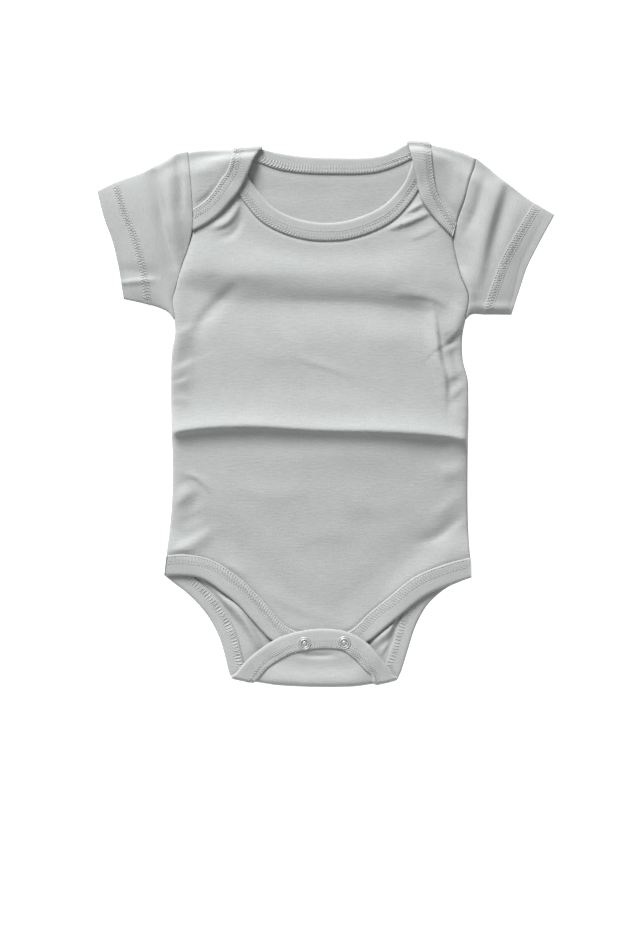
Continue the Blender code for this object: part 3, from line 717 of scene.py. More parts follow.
# %% The patch and its grid
def share_of(line, climb=1.0):
    """How far along each point of a line is, from 0 to 1. A step's length is
    the root of across^2 + (climb * up)^2."""
    step = np.diff(line, axis=0)
    along = np.r_[0, np.cumsum(np.hypot(step[:, 0], climb * step[:, 1]))]
    return along / along[-1]


def point_at(line, share, climb=1.0):
    """The points of a line at these shares of its length."""
    w = share_of(line, climb)
    return np.stack([np.interp(share, w, line[:, k]) for k in (0, 1)], -1)


def patch(bottom, right, top, left, u, v, climb=1.0):
    """(1-v) bottom(u) + v top(u) + (1-u) left(v) + u right(v), less the four
    corners blended the same way, so that every edge is met exactly."""
    b, t = point_at(bottom, u, climb), point_at(top, u, climb)
    l, r = point_at(left, v), point_at(right, v)
    u, v = u[..., None], v[..., None]
    corners = (1 - u) * (1 - v) * bottom[0] + u * (1 - v) * bottom[-1]
    corners = corners + (1 - u) * v * top[0] + u * v * top[-1]
    return (1 - v) * b + v * t + (1 - u) * l + u * r - corners


def relax(plan, rounds):
    """Each inner point moves to the mean of its four neighbours, `rounds`
    times, which opens cells that the blend has squeezed or turned over."""
    for _ in range(rounds):
        plan[1:-1, 1:-1] = 0.25 * (
            plan[:-2, 1:-1] + plan[2:, 1:-1] + plan[1:-1, :-2] + plan[1:-1, 2:]
        )
    return plan


def grid_faces(rows, columns, around=False):
    """Four-sided faces between neighbouring rows and columns of a grid."""
    i, j = np.meshgrid(np.arange(rows - 1), np.arange(columns - (not around)), indexing="ij")
    k, low, high = (j + 1) % columns, i * columns, (i + 1) * columns
    return np.stack([low + j, low + k, high + k, high + j], -1).reshape(-1, 4)


def shares(rows, columns):
    """v from 0 to 1 up a grid and u from 0 to 1 across it."""
    return np.meshgrid(np.linspace(0, 1, rows), np.linspace(0, 1, columns), indexing="ij")


# %% Meshes
def add_piece(name, points, faces, finish, uv=None, caps=()):
    """A mesh object in metres from points in mm, with an optional UV map in
    metres of cloth, so that knit and ribs follow the piece."""
    mesh = bpy.data.meshes.new(name)
    mesh.from_pydata((points.reshape(-1, 3) / 1000).tolist(), [], faces.tolist() + list(caps))
    if uv is not None:
        corner = np.empty(len(mesh.loops), np.int32)
        mesh.loops.foreach_get("vertex_index", corner)
        layer = mesh.uv_layers.new(name="cloth")
        layer.data.foreach_set("uv", (uv.reshape(-1, 2)[corner] / 1000).astype(np.float32).ravel())
    mesh.polygons.foreach_set("use_smooth", [True] * len(mesh.polygons))
    mesh.materials.append(finish)
    obj = bpy.data.objects.new(name, mesh)
    bpy.context.scene.collection.objects.link(obj)
    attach(obj, "root")
    return obj


def add_wall(obj, thickness, group=None, least=0.0):
    """Gives a sheet its thickness, half to each side. With a group, the rest of
    the sheet is only `least` times as thick."""
    wall = obj.modifiers.new("wall", "SOLIDIFY")
    wall.thickness, wall.offset, wall.use_even_offset = thickness / 1000, 0, False
    if group is not None:
        wall.vertex_group = obj.vertex_groups[group].name
        wall.thickness_vertex_group = least


def flat_area(plan):
    """Area of a flat grid in square metres: half the cross product of each
    quad's diagonals, summed."""
    a, b = plan[1:, 1:] - plan[:-1, :-1], plan[1:, :-1] - plan[:-1, 1:]
    return float(np.abs(a[..., 0] * b[..., 1] - a[..., 1] * b[..., 0]).sum() / 2e6)


# %% [markdown]
# ## Finishes
# Jersey is a plain knit: columns of tiny loops 0.9 mm apart, with slubs that
# show as faint level streaks. The binding is a fine rib whose ribs run across
# the strip. A picture of knit could be laid on, but it would blur close up and
# repeat. Waves and noise stay sharp, and as they read the piece's own cloth map
# the loops follow every fold. Thread is brighter than cloth and a little
# glossy, and the snaps are nickel.


# %% Nodes
def new_finish(name, colour, rough, metal=0.0, sheen=0.0):
    """A material with one shader, its nodes and that shader."""
    mat = bpy.data.materials.new(name)
    mat.use_nodes = True
    shader = mat.node_tree.nodes["Principled BSDF"]
    shader.inputs["Base Color"].default_value = (*colour, 1)
    shader.inputs["Roughness"].default_value = rough
    shader.inputs["Metallic"].default_value = metal
    shader.inputs["Sheen Weight"].default_value = sheen
    shader.inputs["Sheen Roughness"].default_value = 0.6
    return mat, mat.node_tree, shader


def add(tree, kind, **properties):
    """A node with its properties set by name."""
    node = tree.nodes.new(kind)
    for key, value in properties.items():
        setattr(node, key, value)
    return node


# %% Patterns
def streaks(tree, source, scale, detail):
    """Noise with `scale` spots to the metre along each axis."""
    place = add(tree, "ShaderNodeMapping")
    place.inputs["Scale"].default_value = scale
    noise = add(tree, "ShaderNodeTexNoise")
    noise.inputs["Scale"].default_value = 1.0
    noise.inputs["Detail"].default_value = detail
    tree.links.new(source, place.inputs["Vector"])
    tree.links.new(place.outputs[0], noise.inputs["Vector"])
    return noise.outputs[0]


def bands(tree, source, direction, pitch, distort=0.0):
    """A sine wave across the cloth map, one wave every `pitch` metres: the
    node's own wave is 2 * pi / 20 long at scale 1."""
    wave = add(tree, "ShaderNodeTexWave", bands_direction=direction)
    wave.inputs["Scale"].default_value = math.pi / 10 / pitch
    wave.inputs["Distortion"].default_value = distort
    tree.links.new(source, wave.inputs["Vector"])
    return wave.outputs["Fac"]


# %% Sums of patterns
def maths(tree, how, *values):
    """One sum on numbers or on other nodes' outputs."""
    node = add(tree, "ShaderNodeMath", operation=how)
    for i, value in enumerate(values):
        if isinstance(value, (int, float)):
            node.inputs[i].default_value = value
        else:
            tree.links.new(value, node.inputs[i])
    return node.outputs[0]


def weighted(tree, *parts):
    """The sum of factor * weight over pairs of (factor, weight)."""
    total = None
    for factor, weight in parts:
        part = maths(tree, "MULTIPLY", factor, weight)
        total = part if total is None else maths(tree, "ADD", total, part)
    return total


# %% Patterns into the shader
def tint(tree, shader, fac, dark, light):
    """Base colour between two greys, dark + factor * (light - dark)."""
    mix = add(tree, "ShaderNodeMix", data_type="RGBA")
    mix.inputs[6].default_value, mix.inputs[7].default_value = (*dark, 1), (*light, 1)
    tree.links.new(fac, mix.inputs[0])
    tree.links.new(mix.outputs[2], shader.inputs["Base Color"])


def emboss(tree, shader, height, metres):
    """Tilts the normal as a relief of height * metres would."""
    bump = add(tree, "ShaderNodeBump")
    bump.inputs["Distance"].default_value = metres
    bump.inputs["Strength"].default_value = 1.0
    tree.links.new(height, bump.inputs["Height"])
    tree.links.new(bump.outputs[0], shader.inputs["Normal"])


# %% Where a strip is sewn down
BAND_MIDDLE, BAND_HALF = 0.0037, 0.0028  # metres off the inner edge, half its width


def sewn_band(tree, cloth):
    """0 away from the stitches and up to 1 between two of them: half of
    1 - cos(turns), one turn to each stitch, kept to the sewn band."""
    turns = add(tree, "ShaderNodeVectorMath", operation="DOT_PRODUCT")
    turns.inputs[1].default_value = (2 * math.pi / (PITCH / 1000), 0, 0)
    tree.links.new(cloth, turns.inputs[0])
    wave = maths(tree, "COSINE", turns.outputs["Value"])
    gap = maths(tree, "MULTIPLY", maths(tree, "SUBTRACT", 1.0, wave), 0.5)
    apart = add(tree, "ShaderNodeSeparateXYZ")
    tree.links.new(cloth, apart.inputs[0])
    band = maths(tree, "COMPARE", apart.outputs["Y"], BAND_MIDDLE, BAND_HALF)
    return maths(tree, "MULTIPLY", gap, band)


# %% Jersey and rib
GREY = np.array([0.413, 0.428, 0.421])
DARKEST, LIGHTEST = GREY * 0.84, GREY * 1.16
COLUMN, COURSE, RIB_PITCH = 0.0009, 0.0008, 0.0011  # metres from loop to loop, rib to rib
SLUBS, MOTTLES, GRAINS = (150, 700, 1), (48, 48, 48), (620, 900, 1)  # spots to the metre
CLOTH_RELIEF = 0.00012  # metres


def make_cloth(name, ribbed):
    """Relief: ribs and slubs less the dents between stitches, or loops, which
    are columns * courses, and slubs. Colour: slubs, mottle and grain, and on
    the rib a painted shade that darkens it between the stitches."""
    mat, tree, shader = new_finish(name, GREY, 0.92, sheen=0.12)
    place = add(tree, "ShaderNodeTexCoord")
    cloth, body = place.outputs["UV"], place.outputs["Object"]
    slub, mottle = streaks(tree, cloth, SLUBS, 3), streaks(tree, body, MOTTLES, 4)
    grain = maths(tree, "SUBTRACT", streaks(tree, cloth, GRAINS, 2), 0.5)
    shades = [(slub, 0.58), (mottle, 0.42), (grain, 0.9)]
    if ribbed:
        ribs, dent_and_painted_shade = bands(tree, cloth, "X", RIB_PITCH), sewn_band(tree, cloth)
        height = weighted(tree, (ribs, 0.8), (slub, 0.3), (dent_and_painted_shade, -1.4))
        # painted shade: the rib's colour is darkened between the stitches, where its dents lie in
        # shade
        shades.append((dent_and_painted_shade, -0.15))
    else:
        columns = bands(tree, cloth, "X", COLUMN, 0.4)
        loops = maths(tree, "MULTIPLY", columns, bands(tree, cloth, "Y", COURSE, 0.4))
        height = weighted(tree, (loops, 0.5), (slub, 1.2))
    tint(tree, shader, weighted(tree, *shades), DARKEST, LIGHTEST)
    emboss(tree, shader, height, CLOTH_RELIEF)
    return mat


JERSEY, RIB = make_cloth("jersey", False), make_cloth("rib", True)
print("cloths:", JERSEY.name, "and", RIB.name)


# %% Thread and nickel
def speckles(tree, spots, detail):
    """Even noise in the object's own space, `spots` to the metre."""
    body = add(tree, "ShaderNodeTexCoord").outputs["Object"]
    return streaks(tree, body, (spots, spots, spots), detail)


THREAD, tree, shader = new_finish("thread", (0.58, 0.59, 0.59), 0.6, sheen=0.1)
twist = speckles(tree, 900, 1)
tint(tree, shader, twist, (0.5, 0.51, 0.51), (0.66, 0.67, 0.67))
NICKEL, tree, shader = new_finish("nickel", (0.5, 0.505, 0.5), 0.42, metal=0.5)
brushed = speckles(tree, 300, 3)
tint(tree, shader, brushed, (0.44, 0.445, 0.44), (0.56, 0.565, 0.56))
emboss(tree, shader, brushed, 0.00002)
print("finishes:", ", ".join(m.name for m in (JERSEY, RIB, THREAD, NICKEL)))

# %% [markdown]
# ## The front
# One cut: the neck scoop with its two shoulder laps, the armholes and sides,
# the high legs and the short crotch end. Its raw neck and leg edges end inside
# the bindings. It could be a plane sculpted by hand; as a patch raised by the
# height field it keeps its distance from the back in every crease.

# %% Edges of the panels
LEG_TOP, ARM_LOW = -119, 70  # y where a side seam starts above the leg, ends at the arm
LAP_RIGHT, LAP_LEFT = 188, 186  # y up to which the front's laps follow the armholes
TIP_RIGHT, TIP_LEFT = 142, 138  # y down to which the back's flaps follow them
FRONT_GRID, BACK_GRID = (280, 165), (384, 118)  # rows from crotch to neck, columns


def tucked(stations):
    """The cloth's raw edge inside a binding, TUCK mm in from the fold."""
    across = stations[:, 1] - stations[:, 0]
    return stations[:, 0] + across * (TUCK / np.linalg.norm(across, axis=1))[:, None]


def cut_between(table, low, high):
    """A seam's curve from y = low up to y = high."""
    line = smooth(table, 2.0)[::-1]
    return line[(line[:, 1] > low) & (line[:, 1] < high)]


def side_line(leg_end, seam, *upper):
    """A panel's side: from the leg's end up its side seam, then what is above."""
    return np.concatenate([[leg_end], cut_between(seam, LEG_TOP, ARM_LOW), *upper])


# %% Front panel
def front_surface(x, y):
    """The front's middle with its creases, which die out at seams and bindings.
    It swells by 0.5 beside a seam and sinks at it until it is 0.04 off the
    back, and it swells by 0.45 along each binding, where the stitches hold it."""
    bound = from_bindings(x, y, FRONT_BOUND)
    roll = 0.5 * within(x, y, 3.5) - (STEP - CLOTH - 0.04) * (1 - within(x, y, 3))
    swell = 0.45 * within(x, y, 4) * (1 - fade(bound, SEWN + 0.4, 1.6))
    roll = roll * (1 - fade(bound, SEWN, 40)) + swell
    rise = within(x, y, 4) * creases(x, y, FRONT_CREASES) * (1 - fade(bound, SEWN, 5))
    return np.stack([x, y, front_height(x, y) + rise + roll], -1)


neck, legs = tucked(STRIPS["front_neck"]), tucked(STRIPS["front_legs"])
right = side_line(legs[0], SIDE_RIGHT, cut_between(ARMHOLE_RIGHT, ARM_LOW, LAP_RIGHT))
left = side_line(legs[-1], SIDE_LEFT, cut_between(ARMHOLE_LEFT, ARM_LOW, LAP_LEFT))
# the laps' upper edges lie under the flaps, some 10 mm short of the fold
top = np.concatenate([
    [right[-1], (-95, 188.7), (-86, 189.3), (-77, 190)], neck,
    [(81, 195.3), (92, 193.3), (103, 188.5), left[-1]],
])
v, u = shares(*FRONT_GRID)
plan = patch(legs, left, top, right, u, v)
front = add_piece(
    "jersey_front", front_surface(plan[..., 0], plan[..., 1]), grid_faces(*u.shape), JERSEY, plan
)
add_wall(front, CLOTH)
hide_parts("front_panel")

# %% [markdown]
# ## The back
# The same patch, on the flat cut: its upper edge is the neck strip's raw edge
# from one flap tip to the other, its lower edge runs down one leg, round the
# tail's free end and up the other leg. Folding is a function here and not a
# modifier, so the same function folds the bindings and the stitches with it.


# %% The back's armhole edges
def armhole_cut(table, lowest):
    """The back's armhole edge on the flat cut: up to the fold, round it, and
    down the flap to the row y = lowest."""
    line = smooth(table, 2.0)[::-1]
    top_y = bends(line[-1:, 0])[0][0]
    x = np.interp(top_y, line[:, 1], line[:, 0])
    main = line[line[:, 1] < top_y]
    over = cut_between(table, lowest, top_y)[::-1]
    flap = np.stack([over[:, 0], flat_of_flap(over[:, 0], over[:, 1])], -1)
    return np.concatenate([main, round_fold([x], "top", np.linspace(0, 1, 9))[:, 0], flap])


# %% Back panel
INSIDE_TOP = 176  # y up to which the inside shows creases, below the neck
PAST_TOP, PAST_LOW = 8, 16  # from a fold's start to where a flap or the tail creases


def back_surface(x, q):
    """The folded back with its creases: free * creases inside the body, and
    the flaps' and the tail's own beyond the folds."""
    at = fold_back(x, q)
    top, _, low, _ = bends(x)
    free = within(x, q, 8) * (1 - fade(from_bindings(x, q, BACK_BOUND), SEWN + 0.1, 3.6))
    inside = (q > low) & (q < INSIDE_TOP)
    at[..., 2] += np.where(inside, free * creases(x, q, BACK_CREASES).clip(0, 4.6), 0)
    at[..., 2] += np.where(q > top + PAST_TOP, flap_folds(x, at[..., 1]), 0)
    tail_folds = creases(x, at[..., 1], TAIL_CREASES)
    at[..., 2] += np.where(q < low - PAST_LOW, tail_folds, 0)
    return at


neck, legs = tucked(STRIPS["back_neck"]), tucked(STRIPS["back_legs"])
right = side_line(legs[0], SIDE_RIGHT, armhole_cut(ARMHOLE_RIGHT, TIP_RIGHT), [neck[0]])
left = side_line(legs[-1], SIDE_LEFT, armhole_cut(ARMHOLE_LEFT, TIP_LEFT), [neck[-1]])
v, u = shares(*BACK_GRID)
plan = relax(patch(legs, left, neck, right, u, v, climb=0.5), 30)
back = add_piece(
    "jersey_back", back_surface(plan[..., 0], plan[..., 1]), grid_faces(*u.shape), JERSEY, plan
)
add_wall(back, CLOTH)
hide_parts("back_panel")

# %% [markdown]
# ## Sleeves
# A short sleeve is one piece folded along its top and joined under the arm: a
# flattened tube, open at the cuff. Two flat sheets could stand for it, but the
# cuff would show that nothing joins them. Here each ring goes out along the
# upper layer, round the under-arm edge, back along the lower layer and round
# the top fold. The turned hem is a thicker wall near the cuff.

# %% Outlines of the sleeves, from top to under-arm or from armhole to cuff
SLEEVES = {
    "right": dict(
        seam=ARMHOLE_RIGHT, side=-1,
        upper=[
            (-104.5, 199), (-112.5, 197.2), (-121.5, 192.7), (-130.5, 187.5),
            (-139.6, 182.8), (-157.9, 176), (-173.5, 168.5),
        ],
        under=[(-114.5, 71), (-119.5, 77), (-126, 80.3), (-135, 83.2), (-153.5, 87.5)],
        cuff=[(-173.5, 168.5), (-167.5, 146), (-162.4, 132.5), (-158, 114.5), (-153.5, 87.5)],
    ),
    "left": dict(
        seam=ARMHOLE_LEFT, side=1,
        upper=[
            (114, 193.8), (120.3, 189), (129.4, 181.3), (138.5, 174.4), (152.2, 163.8),
            (173.5, 150.5),
        ],
        under=[(106, 71.5), (110, 75), (119, 75.5), (141, 75.5)],
        cuff=[(173.5, 150.5), (161, 127.6), (152.2, 109.8), (147.7, 96), (141, 75.5)],
    ),
}
HEM = 18.0  # width of the turned hem
HEM_WALL = 1.2  # thickness of its two layers
SLEEVE_LONG = 70  # about, from armhole to cuff along the top
LET_DOWN = 20  # how far from the armhole the sleeve comes down to its own height
SEAM_GAP = 0.14  # from the armhole's line to the sleeve's cloth
RINGS, ACROSS = 76, 70  # points from armhole to cuff, and over one layer
print("hem", HEM, "mm, sleeves about", SLEEVE_LONG, "mm long")


# %% Where a sleeve's cloth is and how high
def sleeve_plan(cut, s, t):
    """Where share s from armhole to cuff and share t from top to under-arm is:
    a patch, moved out at the seam by SEAM_GAP * exp(-25 * s)."""
    edges = [smooth(cut[k], 0.5) for k in ("seam", "under", "cuff", "upper")]
    at = patch(*edges, t, s)
    at[..., 0] += cut["side"] * SEAM_GAP * np.exp(-s * 25)
    return at


def sleeve_length(cut, t):
    """From armhole to cuff in mm, at share t from top to under-arm."""
    return np.linalg.norm(sleeve_plan(cut, 0 * t, t) - sleeve_plan(cut, 0 * t + 1, t), axis=-1)


def hem_share(cut, t, far):
    """The share s that is `far` mm from the cuff, and up to 3 mm more near the
    under-arm: 1 - far / length, as the sleeve is shorter there."""
    return 1 - (far + 3 * t) / sleeve_length(cut, t)


def beside(cut, t):
    """Height of the body's cloth along the armhole, which is the front's below
    y = 127, the flap's above 145, and a mix of both between."""
    p = point_at(smooth(cut["seam"], 0.5), t)
    x, y = p[..., 0], p[..., 1]
    on_flap = np.clip((y - 127) / 18, 0, 1)
    flap = flap_height(x, y) + flap_folds(x, y)
    return on_flap * flap + (1 - on_flap) * front_height(x, y)


def sleeve_height(cut, s, t):
    """Middle of the upper layer: the air in it, SLEEVE_PUFF * (0.35 + 0.65 *
    sin^0.7), brought to the height of the body's cloth at the armhole and let
    down by exp(-(way / LET_DOWN)^2), plus its creases."""
    air = 1 - np.exp(-8 * t * (1 - t))
    tall = SLEEVE_PUFF * air * (0.35 + 0.65 * np.sin(math.pi * np.clip(s * 1.1, 0, 1)) ** 0.7)
    start = SLEEVE_PUFF * air * 0.35
    down = np.exp(-((s * SLEEVE_LONG / LET_DOWN) ** 2))
    meet = (beside(cut, t) - FLOOR - STEP - start) * down
    at = sleeve_plan(cut, s, t)
    folds = creases(at[..., 0], at[..., 1], SLEEVE_CREASES) * np.clip(air * 5, 0, 1)
    return FLOOR + STEP + np.clip(tall + folds, 0.05, None) + meet


# %% Rings round a sleeve
HALF_TURN = np.radians(np.linspace(90, -90, 7))


def edge_turn(cut, s, at, inner, radius):
    """Half circles round an edge: in by radius * (1 - cos), up by radius * sin."""
    tip, towards = sleeve_plan(cut, s, 0 * s + at), sleeve_plan(cut, s, inner)
    flat = tip + unit(towards - tip) * (radius * (1 - np.cos(HALF_TURN)))[..., None]
    return np.concatenate([flat, (FLOOR + radius + radius * np.sin(HALF_TURN))[..., None]], -1)


def sleeve_loop(cut, s):
    """Closed rings, one for each share s: the two layers, and round each edge a
    turn whose radius is half the sleeve's height there. Also the layers' t."""
    broad = np.linalg.norm(sleeve_plan(cut, s, 0 * s) - sleeve_plan(cut, s, 0 * s + 1), axis=-1)
    r0 = (sleeve_height(cut, s, 0 * s) - FLOOR) / 2
    r1 = (sleeve_height(cut, s, 0 * s + 1) - FLOOR) / 2
    t0, t1 = r0 / broad, 1 - r1 / broad
    t = t0 + (t1 - t0) * np.linspace(0, 1, ACROSS)
    plan = sleeve_plan(cut, s + 0 * t, t)
    upper = np.concatenate([plan, sleeve_height(cut, s + 0 * t, t)[..., None]], -1)
    lower = np.concatenate([plan, np.full(t.shape + (1,), FLOOR)], -1)
    under_arm = edge_turn(cut, s, 1, t1, r1)[:, 1:-1]
    top_fold = edge_turn(cut, s, 0, t0, r0)[:, -2:0:-1]
    return np.concatenate([upper, under_arm, lower[:, ::-1], top_fold], axis=1), t


# %% Make both sleeves
for side, cut in SLEEVES.items():
    s = np.linspace(0, 1, RINGS)[:, None]
    loop, t = sleeve_loop(cut, s)
    wide = s + 0 * t
    uv = np.stack(np.broadcast_arrays(lengths(loop[0])[None], s * SLEEVE_LONG), -1)
    faces = grid_faces(RINGS, loop.shape[1], True)
    obj = add_piece(f"jersey_sleeve_{side}", loop, faces, JERSEY, uv)
    hem = obj.vertex_groups.new(name="hem")
    ends = np.ones((RINGS, len(HALF_TURN) - 2))
    turned = s > hem_share(cut, np.concatenate([t, ends, t[:, ::-1], 0 * ends], 1), HEM)
    hem.add(np.flatnonzero(turned).tolist(), 1.0, "REPLACE")
    add_wall(obj, HEM_WALL, "hem", CLOTH / HEM_WALL)
    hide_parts(f"sleeve_{side}")
    2 * flat_area(sleeve_plan(cut, wide, t))
    print(side, "sleeve:", loop.shape[:2], "tallest", round(float(loop[..., 2].max()), 1), "mm")

# %% [markdown]
# ## Bindings
# A ribbed strip is folded lengthwise over each raw edge and sewn down. Its
# section is a U: two arms one step above and below the cloth, joined by half an
# ellipse outside the raw edge. A bevelled curve could carry such a section, but
# it would leave the cloth in every crease, so each point of the section is
# placed on the flat cut, folded with it, and moved off along the cloth's normal.


# %% Points off the cloth
def strip_frame(stations, place, d, h):
    """Points d mm in from the outer fold and h mm off the cloth, for every
    station: place(x, q) + normal * h, where the normal is the cross product of
    the cloth's two slopes. Columns of d and h are the points of a section."""
    outer, inner = stations[:, None, 0], stations[:, None, 1]
    x, q = np.moveaxis(outer + unit(inner - outer) * d[..., None], -1, 0)
    e = 0.05  # mm to each side, between which the slopes are read
    slopes = place(x + e, q) - place(x - e, q), place(x, q + e) - place(x, q - e)
    normal = unit(np.cross(*slopes))
    at = place(x, q) + normal * h[..., None]
    at[..., 2] = np.maximum(at[..., 2], 0)
    return at, normal


# %% Section of a binding
RIB_WALL = 0.72  # thickness of the rib
FAR, NEAR = STEP + RIB_WALL / 2, STEP - RIB_WALL / 2  # its faces, off the cloth's middle
ROUND = 2.2  # from the fold to where the arms run straight
LIP_IN, LIP_DOWN = 0.9, 0.45  # the rounding of the outer arm's end
CHAMFER = 0.12  # the small bevel on the inner side
OUTER_POINTS = 27  # of the section, from one lip round the fold to the other


def binding_section(width):
    """The U as closed rows of (d, h): out along the upper arm, round the fold
    on half an ellipse, back along the lower arm, and the same again on the
    inner side. The ends of the arms are rounded off."""
    arm = np.linspace(1, 0, 9)[1:-1]
    turn = np.radians(np.linspace(90, -90, 9))
    bend = np.radians(np.linspace(-90, 90, 5))
    w = width[:, None]
    reach = w - LIP_IN - ROUND
    ones = np.ones_like(w)
    inner_round = ROUND - (ROUND - RIB_WALL) * np.cos(bend)
    d = np.concatenate([
        w - LIP_IN, ROUND + reach * arm, ROUND * (1 - np.cos(turn)) * ones,
        ROUND + reach * arm[::-1], w - LIP_IN,
        w, w, w - CHAMFER, ROUND + reach * arm, inner_round * ones,
        ROUND + reach * arm[::-1], w - CHAMFER, w, w,
    ], 1)
    h = np.concatenate([
        [FAR], 0 * arm + FAR, FAR * np.sin(turn), 0 * arm - FAR, [-FAR],
        [-FAR + LIP_DOWN, -NEAR - CHAMFER], [-NEAR], 0 * arm - NEAR, NEAR * np.sin(bend),
        0 * arm + NEAR, [NEAR], [NEAR + CHAMFER, FAR - LIP_DOWN],
    ]) * ones
    return d, h


# %% A binding's ends
def section_caps(count, rows):
    """Triangles that close the two ends of the U: a walk along its outer and
    its inner side at once, each step taken on the side that is further back."""
    outer = [count - 1, *range(OUTER_POINTS)]
    inner = [count - 2, *range(count - 3, OUTER_POINTS - 1, -1)]
    faces, i, j = [], 0, 0
    while i < len(outer) - 1 or j < len(inner) - 1:
        ahead = (i + 1) / len(outer) <= (j + 1) / len(inner)
        if (ahead and i < len(outer) - 1) or j == len(inner) - 1:
            faces.append((outer[i], outer[i + 1], inner[j]))
            i += 1
        else:
            faces.append((outer[i], inner[j + 1], inner[j]))
            j += 1
    last = (rows - 1) * count
    return faces + [tuple(last + k for k in face[::-1]) for face in faces]


def outward(points, faces, caps):
    """The faces, turned round if the closed shape they make is inside out: if
    its volume, summed over the faces as a * (b x c), is below zero."""
    p = points.reshape(-1, 3)
    a, b, c, d = (p[faces[:, k]] for k in range(4))
    volume = (a * np.cross(b, c)).sum() + (a * np.cross(c, d)).sum()
    return (faces, caps) if volume > 0 else (faces[:, ::-1], [f[::-1] for f in caps])


# %% The four bindings
def make_binding(name, node, stations, place, pinch=0.0):
    """A binding along its stations. A seam across its ends pinches it there:
    every height off the cloth times 1 - pinch * exp(-distance / 3)."""
    width = np.linalg.norm(stations[:, 1] - stations[:, 0], axis=1)
    d, h = binding_section(width)
    along = lengths(stations.mean(1))
    h = h * (1 - pinch * np.exp(-np.minimum(along, along[-1] - along) / 3))[:, None]
    points, _ = strip_frame(stations, place, d, h)
    uv = np.stack(np.broadcast_arrays(along[:, None], width[:, None] - d), -1)
    rows, count = d.shape
    faces, caps = outward(points, grid_faces(rows, count, True), section_caps(count, rows))
    obj = add_piece(name, points, faces, RIB, uv, caps)
    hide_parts(node)


make_binding("rib_front_neck", "front_neck_binding", STRIPS["front_neck"], lay_front)
make_binding("rib_front_legs", "front_leg_binding", STRIPS["front_legs"], lay_front)
make_binding("rib_back_neck", "back_neck_binding", STRIPS["back_neck"], fold_back, 0.28)
make_binding("rib_back_legs", "back_leg_binding", STRIPS["back_legs"], fold_back)

# %% [markdown]
# ## Sewing
# A coverstitch is two lines of straight stitches with a third thread that
# zigzags between them on the outside, and a ladder of loops on the inside. A
# painted seam would be lighter, but raised threads catch the light as real ones
# do. Each stitch is one short, thin tube that tapers into the cloth, and all
# stitches of a seam are one mesh.

# %% Threads
ALONG = np.linspace(0, 1, 6)  # points along one stitch


def threads(name, points, up, radius):
    """One mesh of many short tubes. points and up are (stitches, steps, 3); the
    ring round each point is radius * (cos a * side + sin a * up), and the
    radius shrinks to the ends as the root of a sine."""
    count, steps, _ = points.shape
    tangent = np.gradient(points, axis=1)
    side = unit(np.cross(tangent, up))
    angle = np.radians([0, 72, 144, 216, 288])
    taper = np.sin(np.linspace(0.12, math.pi - 0.12, steps)) ** 0.5
    r = (radius * taper)[None, :, None, None]
    rings = points[:, :, None] + r * (
        np.cos(angle)[:, None] * side[:, :, None] + np.sin(angle)[:, None] * up[:, :, None]
    )
    n = len(angle)
    start = np.arange(count) * steps * n
    faces = (grid_faces(steps, n, True)[None] + start[:, None, None]).reshape(-1, 4)
    ends = [tuple(range(k + n - 1, k - 1, -1)) for k in start.tolist()]
    ends += [tuple(range(k, k + n)) for k in (start + (steps - 1) * n).tolist()]
    obj = add_piece(name, rings, faces, THREAD, None, ends)


# %% Stitches along a binding
def along_strip(stations, spacing):
    """Even places along the strip's middle, and a function that reads the
    stations between its rows at any place."""
    along = lengths(stations.mean(1))
    at = np.arange(spacing, along[-1] - spacing, spacing)
    flat = stations.reshape(len(stations), 4)
    return at, lambda s: np.stack([np.interp(s, along, flat[:, k]) for k in range(4)], -1)


def stitch_run(name, stations, place, rows, h, kind, radius, pitch=PITCH):
    """Stitches of one kind along a binding. rows are mm from its inner edge.
    "line" sews straight stitches and the others cross from row to row. Each
    stitch rises off the cloth by 0.15 * sin(pi * share of its length)."""
    at, station = along_strip(stations, pitch)
    out = math.copysign(1, h)
    hump = 0.15 * np.sin(math.pi * ALONG)
    made = []
    runs = {
        "line": [(-0.38, 0.38, r, r) for r in rows],
        "slant": [(0.0, 0.8, rows[0], rows[1])],
        "rung": [(0.0, 0.0, rows[0], rows[1])],
    }[kind]
    for a, b, row_a, row_b in runs:
        s = at[:, None] + pitch * (a + (b - a) * ALONG)
        here = station(s).reshape(s.shape + (2, 2))
        width = np.linalg.norm(here[..., 1, :] - here[..., 0, :], axis=-1)
        d = width - (row_a + (row_b - row_a) * ALONG)
        flat = here.reshape(-1, 2, 2)
        lift = (h + out * hump) * np.ones_like(s)
        points, normal = strip_frame(flat, place, d.reshape(-1, 1), lift.reshape(-1, 1))
        shape = s.shape + (3,)
        made.append((points.reshape(shape), out * normal.reshape(shape)))
    points, up = (np.concatenate(part) for part in zip(*made))
    threads(name, points, up, radius)


# %% Sew the bindings down
LOW_ROW = 1.2  # the first needle row, from the binding's inner edge
# binding: where it lies, its outside, the second needle row, thread radius
SEAM_SEWING = {
    "front_neck": (lay_front, 1, 7.2, 0.17),
    "front_legs": (lay_front, 1, 6.6, 0.2),
    "back_neck": (fold_back, -1, 7.2, 0.17),
    "back_legs": (fold_back, -1, 5.8, 0.17),
}
for name, (place, outside, high_row, thread) in SEAM_SEWING.items():
    stations, h = STRIPS[name], outside * (FAR + 0.03)
    stitch_run(f"needle_{name}", stations, place, (LOW_ROW, high_row), h, "line", thread)
    covers = {"": (1.5, high_row - 0.3)}
    if name != "front_legs":
        half = (LOW_ROW + high_row) / 2
        covers = {"_low": (1.5, half - 0.1), "_high": (high_row - 0.3, half + 0.1)}
    for part, rows in covers.items():
        stitch_run(f"cover_{name}{part}", stations, place, rows, h, "slant", thread)

